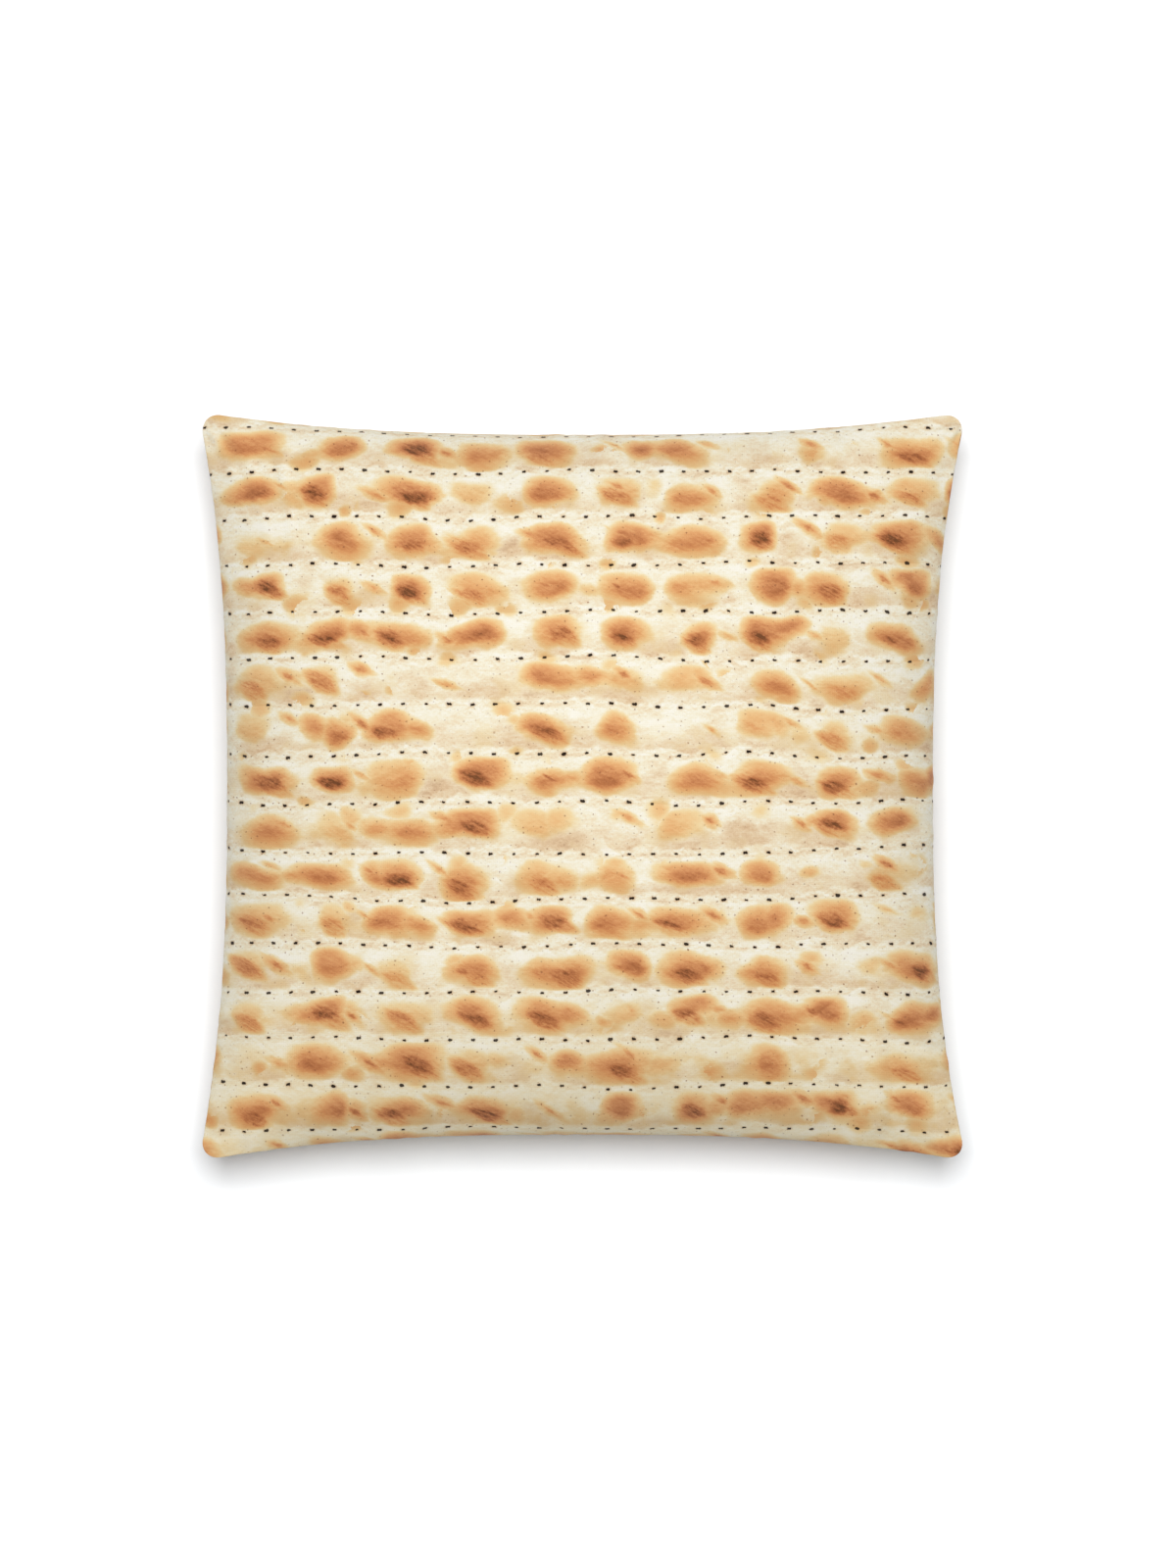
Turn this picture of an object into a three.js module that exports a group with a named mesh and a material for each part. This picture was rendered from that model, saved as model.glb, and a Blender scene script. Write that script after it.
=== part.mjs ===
// A square throw cushion lying flat on one of its two printed faces.
//
// The cover is two squares of woven cloth sewn together along one plain seam. Filling
// makes both faces dome, and draws the four sides in between the corners, so that the
// corners stand out as short soft points. The lower face flattens where it rests.
//
// Millimetres, +Z up, +Y towards the top of the print. The origin is on the floor under
// the middle of the cushion.

import * as THREE from 'three';
import { mergeVertices } from 'three/addons/utils/BufferGeometryUtils.js';

// ---- Driving dimensions ----

const HALF_WIDTH = 227.6; // middle of the cushion to where two sides would meet in a sharp corner, in X
const HALF_HEIGHT = 222.0; // the same in Y
const CORNER_ROUND = 0.06; // share of a half side over which each corner is rounded

// How far each side is drawn in at its middle, and how flat that middle stays.
const DRAW_IN = { left: 17.4, right: 20.4, top: 14.0, bottom: 16.2 };
const DRAW_IN_POWER = 2.7;

const TOP_DOME = 72; // height of the upper face's middle over the seam
const BOTTOM_DOME = 74; // depth of the lower face's middle under the seam, before it rests
const DOME_POWER = 0.52; // 0.5 is a round shoulder down to the seam, 1 a tent

const SEAM_HEIGHT = 62; // the seam over the floor, at the middle of each side
const SEAM_THICKNESS = 2.6; // two layers of cloth and their folded allowance
const CORNER_DROOP = 6; // how much lower the seam is at the corners
const REST_BLEND = 3; // height over which the lower face rounds off into its resting spot

const STEPS = 36; // mesh cells along each side
const EDGE_CROWDING = 0.5; // 0 spaces the cells evenly, 1 crowds them hard towards the seam

// ---- The cushion's form, for s and t from -1 to 1 across its width and height ----

// Spreads evenly spaced places so that they stand closer together near the seam.
function crowd(u) {
  return THREE.MathUtils.lerp(u, Math.sin(u * Math.PI / 2), EDGE_CROWDING);
}

// Turns each sharp corner of the square into a quarter circle.
function roundCorner(s, t) {
  const inner = 1 - CORNER_ROUND;
  const u = (Math.abs(s) - inner) / CORNER_ROUND;
  const v = (Math.abs(t) - inner) / CORNER_ROUND;
  if (u <= 0 || v <= 0) return [s, t];
  const roundU = u * Math.sqrt(1 - v * v / 2);
  const roundV = v * Math.sqrt(1 - u * u / 2);
  return [
    Math.sign(s) * (inner + CORNER_ROUND * roundU),
    Math.sign(t) * (inner + CORNER_ROUND * roundV),
  ];
}

// How far the cloth is drawn in, between one side's value and the opposite side's.
function drawIn(low, high, across, along) {
  const most = THREE.MathUtils.lerp(low, high, (across + 1) / 2);
  return most * (1 - Math.abs(along) ** DRAW_IN_POWER);
}

// Share of the dome's full height: 1 in the middle and 0 all along the seam.
function domeShare(s, t) {
  return Math.max(0, (1 - s * s) * (1 - t * t)) ** DOME_POWER;
}

function seamHeight(s, t) {
  return SEAM_HEIGHT - CORNER_DROOP * (s * t) ** 4;
}

// The higher of a height and the floor, with a soft bend where they meet.
function restOnFloor(z) {
  const near = Math.max(REST_BLEND - Math.abs(z), 0) / REST_BLEND;
  return Math.max(z, 0) + near * near * REST_BLEND / 4;
}

// Moves one point of a 2 x 2 x 2 box to its place on the cushion.
function placeOnCushion(point) {
  const [s, t] = roundCorner(crowd(point.x), crowd(point.y));
  const halfSeam = SEAM_THICKNESS / 2;
  const share = domeShare(s, t);
  const upper = point.z > 0;
  point.x = s * (HALF_WIDTH - drawIn(DRAW_IN.left, DRAW_IN.right, s, t));
  point.y = t * (HALF_HEIGHT - drawIn(DRAW_IN.bottom, DRAW_IN.top, t, s));
  point.z = upper
    ? seamHeight(s, t) + halfSeam + TOP_DOME * share
    : restOnFloor(seamHeight(s, t) - halfSeam - BOTTOM_DOME * share);
}

function makeCushion() {
  const box = new THREE.BoxGeometry(2, 2, 2, STEPS, STEPS, 1);
  box.deleteAttribute('normal');
  box.deleteAttribute('uv');
  const geometry = mergeVertices(box);
  const position = geometry.getAttribute('position');
  const point = new THREE.Vector3();
  for (let i = 0; i < position.count; i += 1) {
    placeOnCushion(point.fromBufferAttribute(position, i));
    position.setXYZ(i, point.x, point.y, point.z);
  }
  geometry.computeVertexNormals();
  const cloth = new THREE.MeshStandardMaterial({ color: 0xf6ead2, roughness: 0.9, metalness: 0 });
  const mesh = new THREE.Mesh(geometry, cloth);
  mesh.name = 'cushion';
  return mesh;
}

const group = new THREE.Group();
group.add(makeCushion());

export default group;
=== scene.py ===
"""A square throw cushion in a printed cover, lying flat on a pale studio floor.

The cover is two panels of plain-woven cloth, sewn together along one seam. Filling domes
both panels and draws the sides in between the corners. Both panels carry the same all-over
print: a toasted flatbread, with rows of blisters between rows of small prick marks.

Lengths in the classes of form are metres. Lengths in the print and the weave are
millimetres on the cloth, because that is how a printer measures a repeat.
"""

from __future__ import annotations

import logging
import math
from dataclasses import dataclass, field
from enum import Enum
from typing import ClassVar, Dict, List, Mapping, Sequence, Tuple, Union

import bpy
import numpy as np
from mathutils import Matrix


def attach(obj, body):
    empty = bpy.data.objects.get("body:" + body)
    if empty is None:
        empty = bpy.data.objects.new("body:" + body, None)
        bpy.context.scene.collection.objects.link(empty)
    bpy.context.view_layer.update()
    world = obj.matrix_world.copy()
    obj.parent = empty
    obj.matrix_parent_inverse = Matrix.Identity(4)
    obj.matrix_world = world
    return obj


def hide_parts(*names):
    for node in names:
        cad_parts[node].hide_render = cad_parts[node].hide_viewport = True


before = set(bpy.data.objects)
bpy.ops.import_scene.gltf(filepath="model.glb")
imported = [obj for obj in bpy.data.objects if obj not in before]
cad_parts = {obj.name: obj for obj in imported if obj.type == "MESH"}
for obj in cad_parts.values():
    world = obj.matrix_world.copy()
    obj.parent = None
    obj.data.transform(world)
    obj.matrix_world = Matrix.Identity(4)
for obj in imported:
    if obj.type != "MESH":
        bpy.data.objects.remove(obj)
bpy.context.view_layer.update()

MM = 0.001
NODE = "cushion"
BODY = "root"

log = logging.getLogger("cushion")

Feed = Union["Value", float, Tuple[float, ...]]
Span = Tuple[float, float]  # two ends: least and greatest, or where a step starts and ends
Colour = Tuple[float, float, float]
Stops = Tuple[Tuple[float, Colour], ...]  # places along a ramp, each with its colour
Grid = np.ndarray


def linear(red: int, green: int, blue: int) -> Colour:
    """Turns a colour as a screen shows it, 0 to 255, into the linear one that shaders take.

    Args:
        red: The screen's red.
        green: The screen's green.
        blue: The screen's blue.

    Returns:
        Three linear shares, 0 to 1.
    """

    def one(level: int) -> float:
        """Turns one channel."""
        share = level / 255.0
        return share / 12.92 if share <= 0.04045 else ((share + 0.055) / 1.055) ** 2.4

    return one(red), one(green), one(blue)


# ---------------------------------------------------------------------------
# Drawing with shader nodes
# ---------------------------------------------------------------------------


class Kind(Enum):
    """What a group's socket carries."""

    NUMBER = "NodeSocketFloat"
    PLACE = "NodeSocketVector"
    COLOUR = "NodeSocketColor"


@dataclass(frozen=True)
class Port:
    """One named input or output of a node group."""

    name: str
    kind: Kind = Kind.NUMBER


Ports = Tuple[Port, ...]


def numbers(*names: str) -> Ports:
    """Names ports that carry a number each."""
    return tuple(Port(name) for name in names)


def places(*names: str) -> Ports:
    """Names ports that carry a place or another vector each."""
    return tuple(Port(name, Kind.PLACE) for name in names)


class Value:
    """What a node gives. A plain sum with it adds a Math node to its drawing."""

    def __init__(self, on: Drawing, socket: bpy.types.NodeSocket) -> None:
        """Stands for a socket of the given drawing."""
        self.on = on
        self.socket = socket

    def __add__(self, other: Feed) -> Value:
        """Adds a number to it."""
        return self.on.math("ADD", self, other)

    def __radd__(self, other: Feed) -> Value:
        """Adds it to a number."""
        return self.on.math("ADD", other, self)

    def __sub__(self, other: Feed) -> Value:
        """Takes a number from it."""
        return self.on.math("SUBTRACT", self, other)

    def __rsub__(self, other: Feed) -> Value:
        """Takes it from a number."""
        return self.on.math("SUBTRACT", other, self)

    def __mul__(self, other: Feed) -> Value:
        """Multiplies it by a number."""
        return self.on.math("MULTIPLY", self, other)

    def __truediv__(self, other: Feed) -> Value:
        """Divides it by a number."""
        return self.on.math("DIVIDE", self, other)


class Drawing:
    """Short calls for the nodes of one node tree."""

    def __init__(self, tree: bpy.types.NodeTree) -> None:
        """Draws in the given tree."""
        self.tree = tree

    def node(self, kind: str, **settings: object) -> bpy.types.Node:
        """Adds a node.

        Args:
            kind: Blender's name for the node's type.
            **settings: Properties to set on it.

        Returns:
            The new node.
        """
        made = self.tree.nodes.new(kind)
        for name, value in settings.items():
            setattr(made, name, value)
        return made

    def read(self, node: bpy.types.Node, output: Union[str, int] = 0) -> Value:
        """Reads one of a node's outputs."""
        return Value(self, node.outputs[output])

    def feed(self, socket: bpy.types.NodeSocket, source: Feed) -> None:
        """Links a socket to a value, or sets its number or colour."""
        if isinstance(source, Value):
            self.tree.links.new(source.socket, socket)
        elif isinstance(source, tuple) and len(source) == 3 and len(socket.default_value) == 4:
            socket.default_value = (*source, 1.0)
        else:
            socket.default_value = source

    def math(self, work: str, *feeds: Feed) -> Value:
        """Does one sum.

        Args:
            work: The Math node's operation.
            *feeds: Its inputs, in order.

        Returns:
            The result.
        """
        made = self.node("ShaderNodeMath", operation=work)
        for socket, source in zip(made.inputs, feeds):
            self.feed(socket, source)
        return self.read(made)

    def between(self, low: Feed, high: Feed, share: Feed) -> Value:
        """Goes from low to high as share goes from 0 to 1."""
        made = self.node("ShaderNodeMix", data_type="FLOAT")
        self.feed(made.inputs["Factor"], share)
        self.feed(made.inputs["A"], low)
        self.feed(made.inputs["B"], high)
        return self.read(made, "Result")

    def step(self, value: Feed, start: Feed, end: Feed) -> Value:
        """Rises softly from 0 at start to 1 at end, or falls where end is the lower."""
        made = self.node("ShaderNodeMapRange", interpolation_type="SMOOTHSTEP")
        self.feed(made.inputs["Value"], value)
        self.feed(made.inputs["From Min"], start)
        self.feed(made.inputs["From Max"], end)
        return self.read(made, "Result")

    def place(self, x: Feed, y: Feed, z: Feed = 0.0) -> Value:
        """Puts three numbers together."""
        made = self.node("ShaderNodeCombineXYZ")
        for socket, source in zip(made.inputs, (x, y, z)):
            self.feed(socket, source)
        return self.read(made)

    def parts(self, place: Feed) -> Tuple[Value, ...]:
        """Takes three numbers apart."""
        made = self.node("ShaderNodeSeparateXYZ")
        self.feed(made.inputs[0], place)
        return tuple(Value(self, socket) for socket in made.outputs)

    def vector(self, work: str, *feeds: Feed) -> Value:
        """Does one sum on vectors.

        Args:
            work: The Vector Math node's operation.
            *feeds: Its vector inputs, in order.

        Returns:
            The resulting vector.
        """
        made = self.node("ShaderNodeVectorMath", operation=work)
        for socket, source in zip(made.inputs, feeds):
            self.feed(socket, source)
        return self.read(made, "Vector")

    def scaled(self, place: Feed, size: Feed) -> Value:
        """Multiplies a vector by a number."""
        made = self.node("ShaderNodeVectorMath", operation="SCALE")
        self.feed(made.inputs[0], place)
        self.feed(made.inputs["Scale"], size)
        return self.read(made, "Vector")

    def drawn_out(self, place: Feed, share: float) -> Value:
        """Squeezes a place across by a share, so that what is drawn there comes out wider."""
        return self.vector("MULTIPLY", place, (share, 1.0, 1.0))

    def swing(self, share: Feed, reach: Feed) -> Value:
        """Turns 0 to 1 into a number on either side of 0, with reach from end to end."""
        return (share - 0.5) * reach

    def swings(self, shares: Feed, reach: Feed) -> Value:
        """Does the same to each part of a vector or a colour."""
        return self.scaled(self.vector("SUBTRACT", shares, (0.5, 0.5, 0.5)), reach)

    def slant(self, angle: Feed) -> Tuple[Value, Value]:
        """Gives the cosine and the sine of a turn that falls to the right."""
        return self.math("COSINE", angle), self.math("SINE", angle) * -1.0

    def oval(
        self,
        offset: Tuple[Feed, Feed],
        turn: Tuple[Feed, Feed],
        half: Tuple[Feed, Feed],
        square: float = 2.0,
    ) -> Value:
        """Measures how far out a point is in a turned oval.

        Args:
            offset: The point from the oval's middle, across and up.
            turn: The cosine and the sine of the oval's turn.
            half: The oval's half width and half height.
            square: 2 for an oval, more for a squarer form, and less for a lens.

        Returns:
            0 in the middle and 1 on the oval.
        """
        across = offset[0] * turn[0] + offset[1] * turn[1]
        up = offset[1] * turn[0] - offset[0] * turn[1]
        wide = self.math("POWER", self.math("ABSOLUTE", across / half[0]), square)
        tall = self.math("POWER", self.math("ABSOLUTE", up / half[1]), square)
        return self.math("POWER", wide + tall, 1.0 / square)

    def draws(self, cell: Feed, salt: float) -> Tuple[Value, ...]:
        """Draws three even random numbers for a cell of the print.

        Args:
            cell: The cell's whole numbers.
            salt: A number that makes these draws differ from others for the same cell.

        Returns:
            Three numbers from 0 to 1.
        """
        made = self.node("ShaderNodeTexWhiteNoise", noise_dimensions="4D")
        self.feed(made.inputs["Vector"], cell)
        self.feed(made.inputs["W"], salt)
        apart = self.node("ShaderNodeSeparateColor")
        self.feed(apart.inputs[0], self.read(made, "Color"))
        return tuple(Value(self, socket) for socket in apart.outputs)

    def cloud(
        self,
        place: Feed,
        size: float,
        detail: float = 2.0,
        rough: float = 0.5,
        salt: float = 0.0,
    ) -> Tuple[Value, Value]:
        """Draws a soft cloudy noise.

        Args:
            place: Where on the cloth, in millimetres.
            size: Width of its largest patches, in millimetres.
            detail: How many finer layers are added.
            rough: How strong the finer layers are.
            salt: A number that makes this cloud differ from others.

        Returns:
            Its value and its colour, each around one half.
        """
        made = self.node("ShaderNodeTexNoise", noise_dimensions="2D")
        aside = self.vector("ADD", place, (salt * 97.0, salt * 61.0, 0.0))
        self.feed(made.inputs["Vector"], aside)
        self.feed(made.inputs["Scale"], 1.0 / size)
        self.feed(made.inputs["Detail"], detail)
        self.feed(made.inputs["Roughness"], rough)
        return self.read(made), self.read(made, "Color")

    def mixed(self, way: str, one: Feed, two: Feed, share: Feed) -> Value:
        """Mixes two colours.

        Args:
            way: The Mix node's blend type.
            one: The first colour.
            two: The second.
            share: How far the second works on the first.

        Returns:
            The mixed colour.
        """
        made = self.node("ShaderNodeMix", data_type="RGBA", blend_type=way)
        self.feed(made.inputs["Factor"], share)
        first, second = (socket for socket in made.inputs if socket.type == "RGBA")
        self.feed(first, one)
        self.feed(second, two)
        return Value(self, next(socket for socket in made.outputs if socket.type == "RGBA"))

    def blend(self, low: Feed, high: Feed, share: Feed) -> Value:
        """Goes from one colour to another as share goes from 0 to 1."""
        return self.mixed("MIX", low, high, share)

    def tinted(self, colour: Feed, tint: Feed, share: Feed) -> Value:
        """Multiplies a colour by a tint, as far as share says."""
        return self.mixed("MULTIPLY", colour, tint, share)

    def ramp(self, share: Feed, stops: Stops) -> Value:
        """Looks up a colour along a row of stops.

        Args:
            share: Where along the row, from 0 to 1.
            stops: Each stop's place and colour, in order.

        Returns:
            The colour.
        """
        made = self.node("ShaderNodeValToRGB")
        row = made.color_ramp
        row.interpolation = "LINEAR"
        while len(row.elements) < len(stops):
            row.elements.new(1.0)
        for element, (at, colour) in zip(row.elements, stops):
            element.position = at
            element.color = (*colour, 1.0)
        self.feed(made.inputs[0], share)
        return self.read(made, "Color")


class Effect:
    """An effect that is drawn once, as a shader node group, and placed where it is needed."""

    NAME: ClassVar[str] = ""
    TAKES: ClassVar[Ports] = ()
    GIVES: ClassVar[Ports] = ()

    def draw(self, on: Drawing, takes: Mapping[str, Value]) -> Dict[str, Feed]:
        """Draws the effect's nodes.

        Args:
            on: The group's own drawing.
            takes: The group's inputs by name.

        Returns:
            What each output gives, by name.
        """
        raise NotImplementedError

    def tree(self) -> bpy.types.NodeTree:
        """Builds the group the first time, and returns the same one after that."""
        known = bpy.data.node_groups.get(self.NAME)
        if known is not None:
            return known
        tree = bpy.data.node_groups.new(self.NAME, "ShaderNodeTree")
        for ports, way in ((self.TAKES, "INPUT"), (self.GIVES, "OUTPUT")):
            for port in ports:
                tree.interface.new_socket(port.name, in_out=way, socket_type=port.kind.value)
        on = Drawing(tree)
        source = on.node("NodeGroupInput")
        sink = on.node("NodeGroupOutput")
        given = self.draw(on, {port.name: on.read(source, port.name) for port in self.TAKES})
        for name, value in given.items():
            on.feed(sink.inputs[name], value)
        return tree

    def on(self, drawing: Drawing, **feeds: Feed) -> Dict[str, Value]:
        """Places the group in a drawing.

        Args:
            drawing: Where it goes.
            **feeds: What each input takes, by name.

        Returns:
            The group's outputs by name.
        """
        made = drawing.node("ShaderNodeGroup", node_tree=self.tree())
        for name, source in feeds.items():
            drawing.feed(made.inputs[name], source)
        return {port.name: drawing.read(made, port.name) for port in self.GIVES}


# ---------------------------------------------------------------------------
# The print
# ---------------------------------------------------------------------------


@dataclass(frozen=True)
class RowBands(Effect):
    """The rows of prick marks, which waver a little, and the bands between them."""

    NAME: ClassVar[str] = "Row bands"
    TAKES: ClassVar[Ports] = places("Place")
    GIVES: ClassVar[Ports] = numbers("Across", "Band", "Height", "Line", "Off")

    pitch: float = 27.7  # from one row of marks to the next
    first: float = 18.6  # a row's height over the print's middle line
    waver: float = 10.0  # how far a row strays up and down
    waver_size: float = 95.0  # length of those wavers

    def draw(self, on: Drawing, takes: Mapping[str, Value]) -> Dict[str, Feed]:
        """Draws the bands: each one's number, and how high in it a point is."""
        across, up, _ = on.parts(takes["Place"])
        stray, _ = on.cloud(takes["Place"], self.waver_size, detail=1.5, salt=3.1)
        level = up + on.swing(stray, self.waver)
        rows = (level - self.first) / self.pitch
        band = on.math("FLOOR", rows)
        height = on.swing(on.math("FRACT", rows), self.pitch)
        line = on.math("FLOOR", rows + 0.5)
        off = (rows - line) * self.pitch
        return {"Across": across, "Band": band, "Height": height, "Line": line, "Off": off}


@dataclass(frozen=True)
class Lobe:
    """A weaker patch that a blister grows out of one side."""

    wide: Span = (9.0, 18.0)  # half widths
    tall: Span = (6.0, 11.0)
    aside: float = 2.6  # how far apart it may lie on the two sides, in the blister's half widths
    drop: float = 8.0  # how far it may lie up or down
    drop_middle: float = 0.55
    edge: Span = (1.25, 0.0)  # where its toast starts and is full, with 1 on the oval
    least: Span = (0.1, 0.4)  # the sizes that fade out
    heat: Span = (0.4, 0.85)


@dataclass(frozen=True)
class Scorch:
    """A dark streak that slants down to the right across a blister's hottest spot."""

    slope: float = math.radians(27.0)
    lean: float = 0.3  # how far the slopes differ
    long: Span = (9.5, 17.0)
    wide: Span = (4.4, 7.6)
    square: float = 1.6
    edge: Span = (1.05, 0.55)
    lines: Span = (-0.1, 0.1)  # the streaks that split it into lines
    in_lines: Span = (0.55, 1.0)  # how dark it is between the lines and on them
    lot: Span = (0.4, 0.6)  # blisters that draw less than this have none
    halo_edge: Span = (1.5, 0.3)
    halo: float = 0.5  # toast round it

    def draw(
        self,
        on: Drawing,
        moved: Tuple[Feed, Feed],
        takes: Mapping[str, Value],
        core: Tuple[Feed, Feed],
        lots: Tuple[Feed, Feed, Feed],
        present: Feed,
    ) -> Tuple[Value, Value]:
        """Draws the streak.

        Args:
            on: The blister's drawing.
            moved: The point across and up, as the blister's own warp has moved it.
            takes: The blister's inputs.
            core: The moved point from the hottest spot, across and up.
            lots: The draws for its size, its turn and whether there is one.
            present: 1 where the blister is there.

        Returns:
            The scorch, and the toast round it.
        """
        size, turn, lot = lots
        slope = self.slope + on.swing(turn, self.lean)
        slant = on.slant(slope)
        half = (on.between(*self.long, size), on.between(*self.wide, turn))
        # Scorches keep straighter than the blisters they cross.
        plain_x, plain_y, _ = on.parts(takes["Plain"])
        lens_x = core[0] + (plain_x - moved[0])
        lens_y = core[1] + (plain_y - moved[1])
        lens = on.oval((lens_x, lens_y), slant, half, self.square)
        lines = on.between(*self.in_lines, on.step(takes["Streak"], *self.lines))
        marked = on.step(lot, *self.lot) * present
        scorch = on.step(lens, *self.edge) * lines * marked
        return scorch, on.step(lens, *self.halo_edge) * (marked * self.halo)


@dataclass(frozen=True)
class Blister(Effect):
    """One toasted blister: a soft round patch, a lobe out of one side, a slanting scorch."""

    NAME: ClassVar[str] = "Blister"
    TAKES: ClassVar[Ports] = places("Place", "Plain") + numbers("Column", "Band", "Streak")
    GIVES: ClassVar[Ports] = numbers("Toast", "Scorch")

    pitch: float = 42.2  # from one column of blisters to the next
    jitter_across: float = 15.0
    jitter_up: float = 8.5
    low: float = -0.6  # how far over its band's middle a blister sits
    wide: Span = (12.8, 24.5)  # half widths
    wide_power: float = 1.4  # more than 1 makes more of them narrow
    tall: Span = (10.6, 14.2)
    lean: float = 0.5  # how far the leans differ
    lean_middle: float = 0.6
    square: float = 2.25  # 2 is an oval, more is squarer
    sag: Span = (0.88, 1.12)  # its half height below and above its middle
    sag_over: Span = (-3.0, 3.0)
    edge: Span = (1.22, 0.28)  # where its toast starts and is full, with 1 on the oval
    missing: float = 0.1
    strength: Span = (0.4, 1.0)
    faint: Span = (0.0, 0.42)  # the draws that give a faint one
    heat: Span = (0.62, 1.0)  # toast of its broad part, and its hottest spot
    core_aside: float = 0.6  # how far the hottest spot strays, in half widths
    core_low: float = 0.26  # how far under the middle it is, in half heights
    core_size: float = 0.8
    core_edge: Span = (1.12, 0.0)
    core_heat: Span = (0.3, 1.0)
    brushing: float = 0.35  # how far streaks fray the core
    softness: float = 0.2  # of the joins between the broad part and the lobe
    halo_softness: float = 0.15  # and with the toast round the scorch
    lobe: Lobe = field(default_factory=Lobe)
    scorch: Scorch = field(default_factory=Scorch)

    def draw(self, on: Drawing, takes: Mapping[str, Value]) -> Dict[str, Feed]:
        """Draws one blister of the cell that Column and Band name."""
        x, y, _ = on.parts(takes["Place"])
        cell = on.place(takes["Column"], takes["Band"])
        shift, rise, size = on.draws(cell, 0.7)
        height, tone, lot = on.draws(cell, 1.9)
        lean, core_shift, scorch_lot = on.draws(cell, 3.3)
        lobe_side, lobe_size, lobe_rise = on.draws(cell, 5.1)
        peak, scorch_size, scorch_turn = on.draws(cell, 6.7)

        middle_x = (takes["Column"] + 0.5) * self.pitch + on.swing(shift, self.jitter_across)
        middle_y = on.swing(rise, self.jitter_up) + self.low
        off_x = x - middle_x
        off_y = y - middle_y
        half_wide = on.between(*self.wide, on.math("POWER", size, self.wide_power))
        half_tall = on.between(*self.tall, height)
        angle = (lean - self.lean_middle) * self.lean
        turn = (on.math("COSINE", angle), on.math("SINE", angle))

        # Blisters are fuller below than above, because they brown from underneath.
        sagged = half_tall * on.between(*self.sag, on.step(off_y, *self.sag_over))
        body = on.oval((off_x, off_y), turn, (half_wide, sagged), self.square)
        patch = on.step(body, *self.edge)

        # The hottest spot is a little off the middle, and its rim is brushed out in streaks.
        aside = (core_shift - 0.5) * (half_wide * self.core_aside)
        core = (off_x - aside, off_y + half_tall * self.core_low)
        core_half = (half_wide * self.core_size, half_tall * self.core_size)
        out = on.oval(core, turn, core_half)
        brushed = out - takes["Streak"] * self.brushing
        hot = on.step(brushed, *self.core_edge) * on.between(*self.core_heat, peak)

        lobe = self.lobe
        aside = (lobe_side - 0.5) * (half_wide * lobe.aside)
        drop = (lobe_rise - lobe.drop_middle) * lobe.drop
        out = on.oval(
            (off_x - aside, off_y - drop),
            turn,
            (on.between(*lobe.wide, lobe_size), on.between(*lobe.tall, lobe_rise)),
        )
        lobe_patch = on.step(out, *lobe.edge) * on.step(lobe_size, *lobe.least)

        present = on.math("GREATER_THAN", lot, self.missing)
        strength = on.between(*self.strength, on.step(tone, *self.faint))
        swelling = patch * on.between(*self.heat, hot)
        spread = lobe_patch * on.between(*lobe.heat, lobe_rise)
        joined = on.math("SMOOTH_MAX", swelling, spread, self.softness)
        toast = joined * (strength * present)
        lots = (scorch_size, scorch_turn, scorch_lot)
        scorch, halo = self.scorch.draw(on, (x, y), takes, core, lots, present)
        toast = on.math("SMOOTH_MAX", toast, halo, self.halo_softness)
        return {"Toast": toast, "Scorch": scorch}


@dataclass(frozen=True)
class BlisterRow(Effect):
    """The blisters of one band: the one in this column and its two neighbours."""

    NAME: ClassVar[str] = "Blister row"
    TAKES: ClassVar[Ports] = (
        numbers("Across", "Height", "Band") + places("Warp", "Fray") + numbers("Streak")
    )
    GIVES: ClassVar[Ports] = numbers("Toast", "Scorch")

    blister: Blister = field(default_factory=Blister)
    top: Span = (14.4, 7.0)  # where toast ends under the upper marks
    bottom: Span = (-14.2, -9.8)  # and over the lower marks
    clear: Span = (13.6, 12.2)  # how far from a band's middle the marks' own strip is
    bent: float = 0.5  # how far toast's edges near the marks follow the blisters' warp
    underside: Span = (1.04, 0.5)  # toast high and low in the band
    turning: Span = (-0.5, -9.0)  # and where it goes from one to the other
    plain_fray: float = 0.4  # the share of the fraying that scorches take part in
    softness: float = 0.16  # of the joins
    joining: float = 0.09  # what the soft joins add to bare ground

    def draw(self, on: Drawing, takes: Mapping[str, Value]) -> Dict[str, Feed]:
        """Joins three neighbouring blisters, and keeps them between the marks."""
        column = on.math("FLOOR", takes["Across"] / self.blister.pitch)
        place = on.place(takes["Across"], takes["Height"])
        plain = on.vector("ADD", place, on.scaled(takes["Fray"], self.plain_fray))
        place = on.vector("ADD", on.vector("ADD", place, takes["Fray"]), takes["Warp"])
        toast: Feed = 0.0
        scorch: Feed = 0.0
        for aside in (-1.0, 0.0, 1.0):
            one = self.blister.on(
                on,
                Place=place,
                Plain=plain,
                Column=column + aside,
                Band=takes["Band"],
                Streak=takes["Streak"],
            )
            toast = on.math("SMOOTH_MAX", toast, one["Toast"], self.softness)
            scorch = on.math("MAXIMUM", scorch, one["Scorch"])
        toast = on.math("MAXIMUM", toast - self.joining, 0.0) / (1.0 - self.joining)
        # Near the marks the crust is pressed down and toasts less, below more softly.
        _, bent, _ = on.parts(place)
        level = on.between(takes["Height"], bent, self.bent)
        under = on.step(level, *self.top)
        above = on.step(level, *self.bottom)
        clear = on.step(on.math("ABSOLUTE", takes["Height"]), *self.clear)
        kept = under * above * clear
        pale = on.between(*self.underside, on.step(level, *self.turning))
        toast = toast * (kept * pale)
        return {"Toast": toast, "Scorch": scorch * kept}


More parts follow.
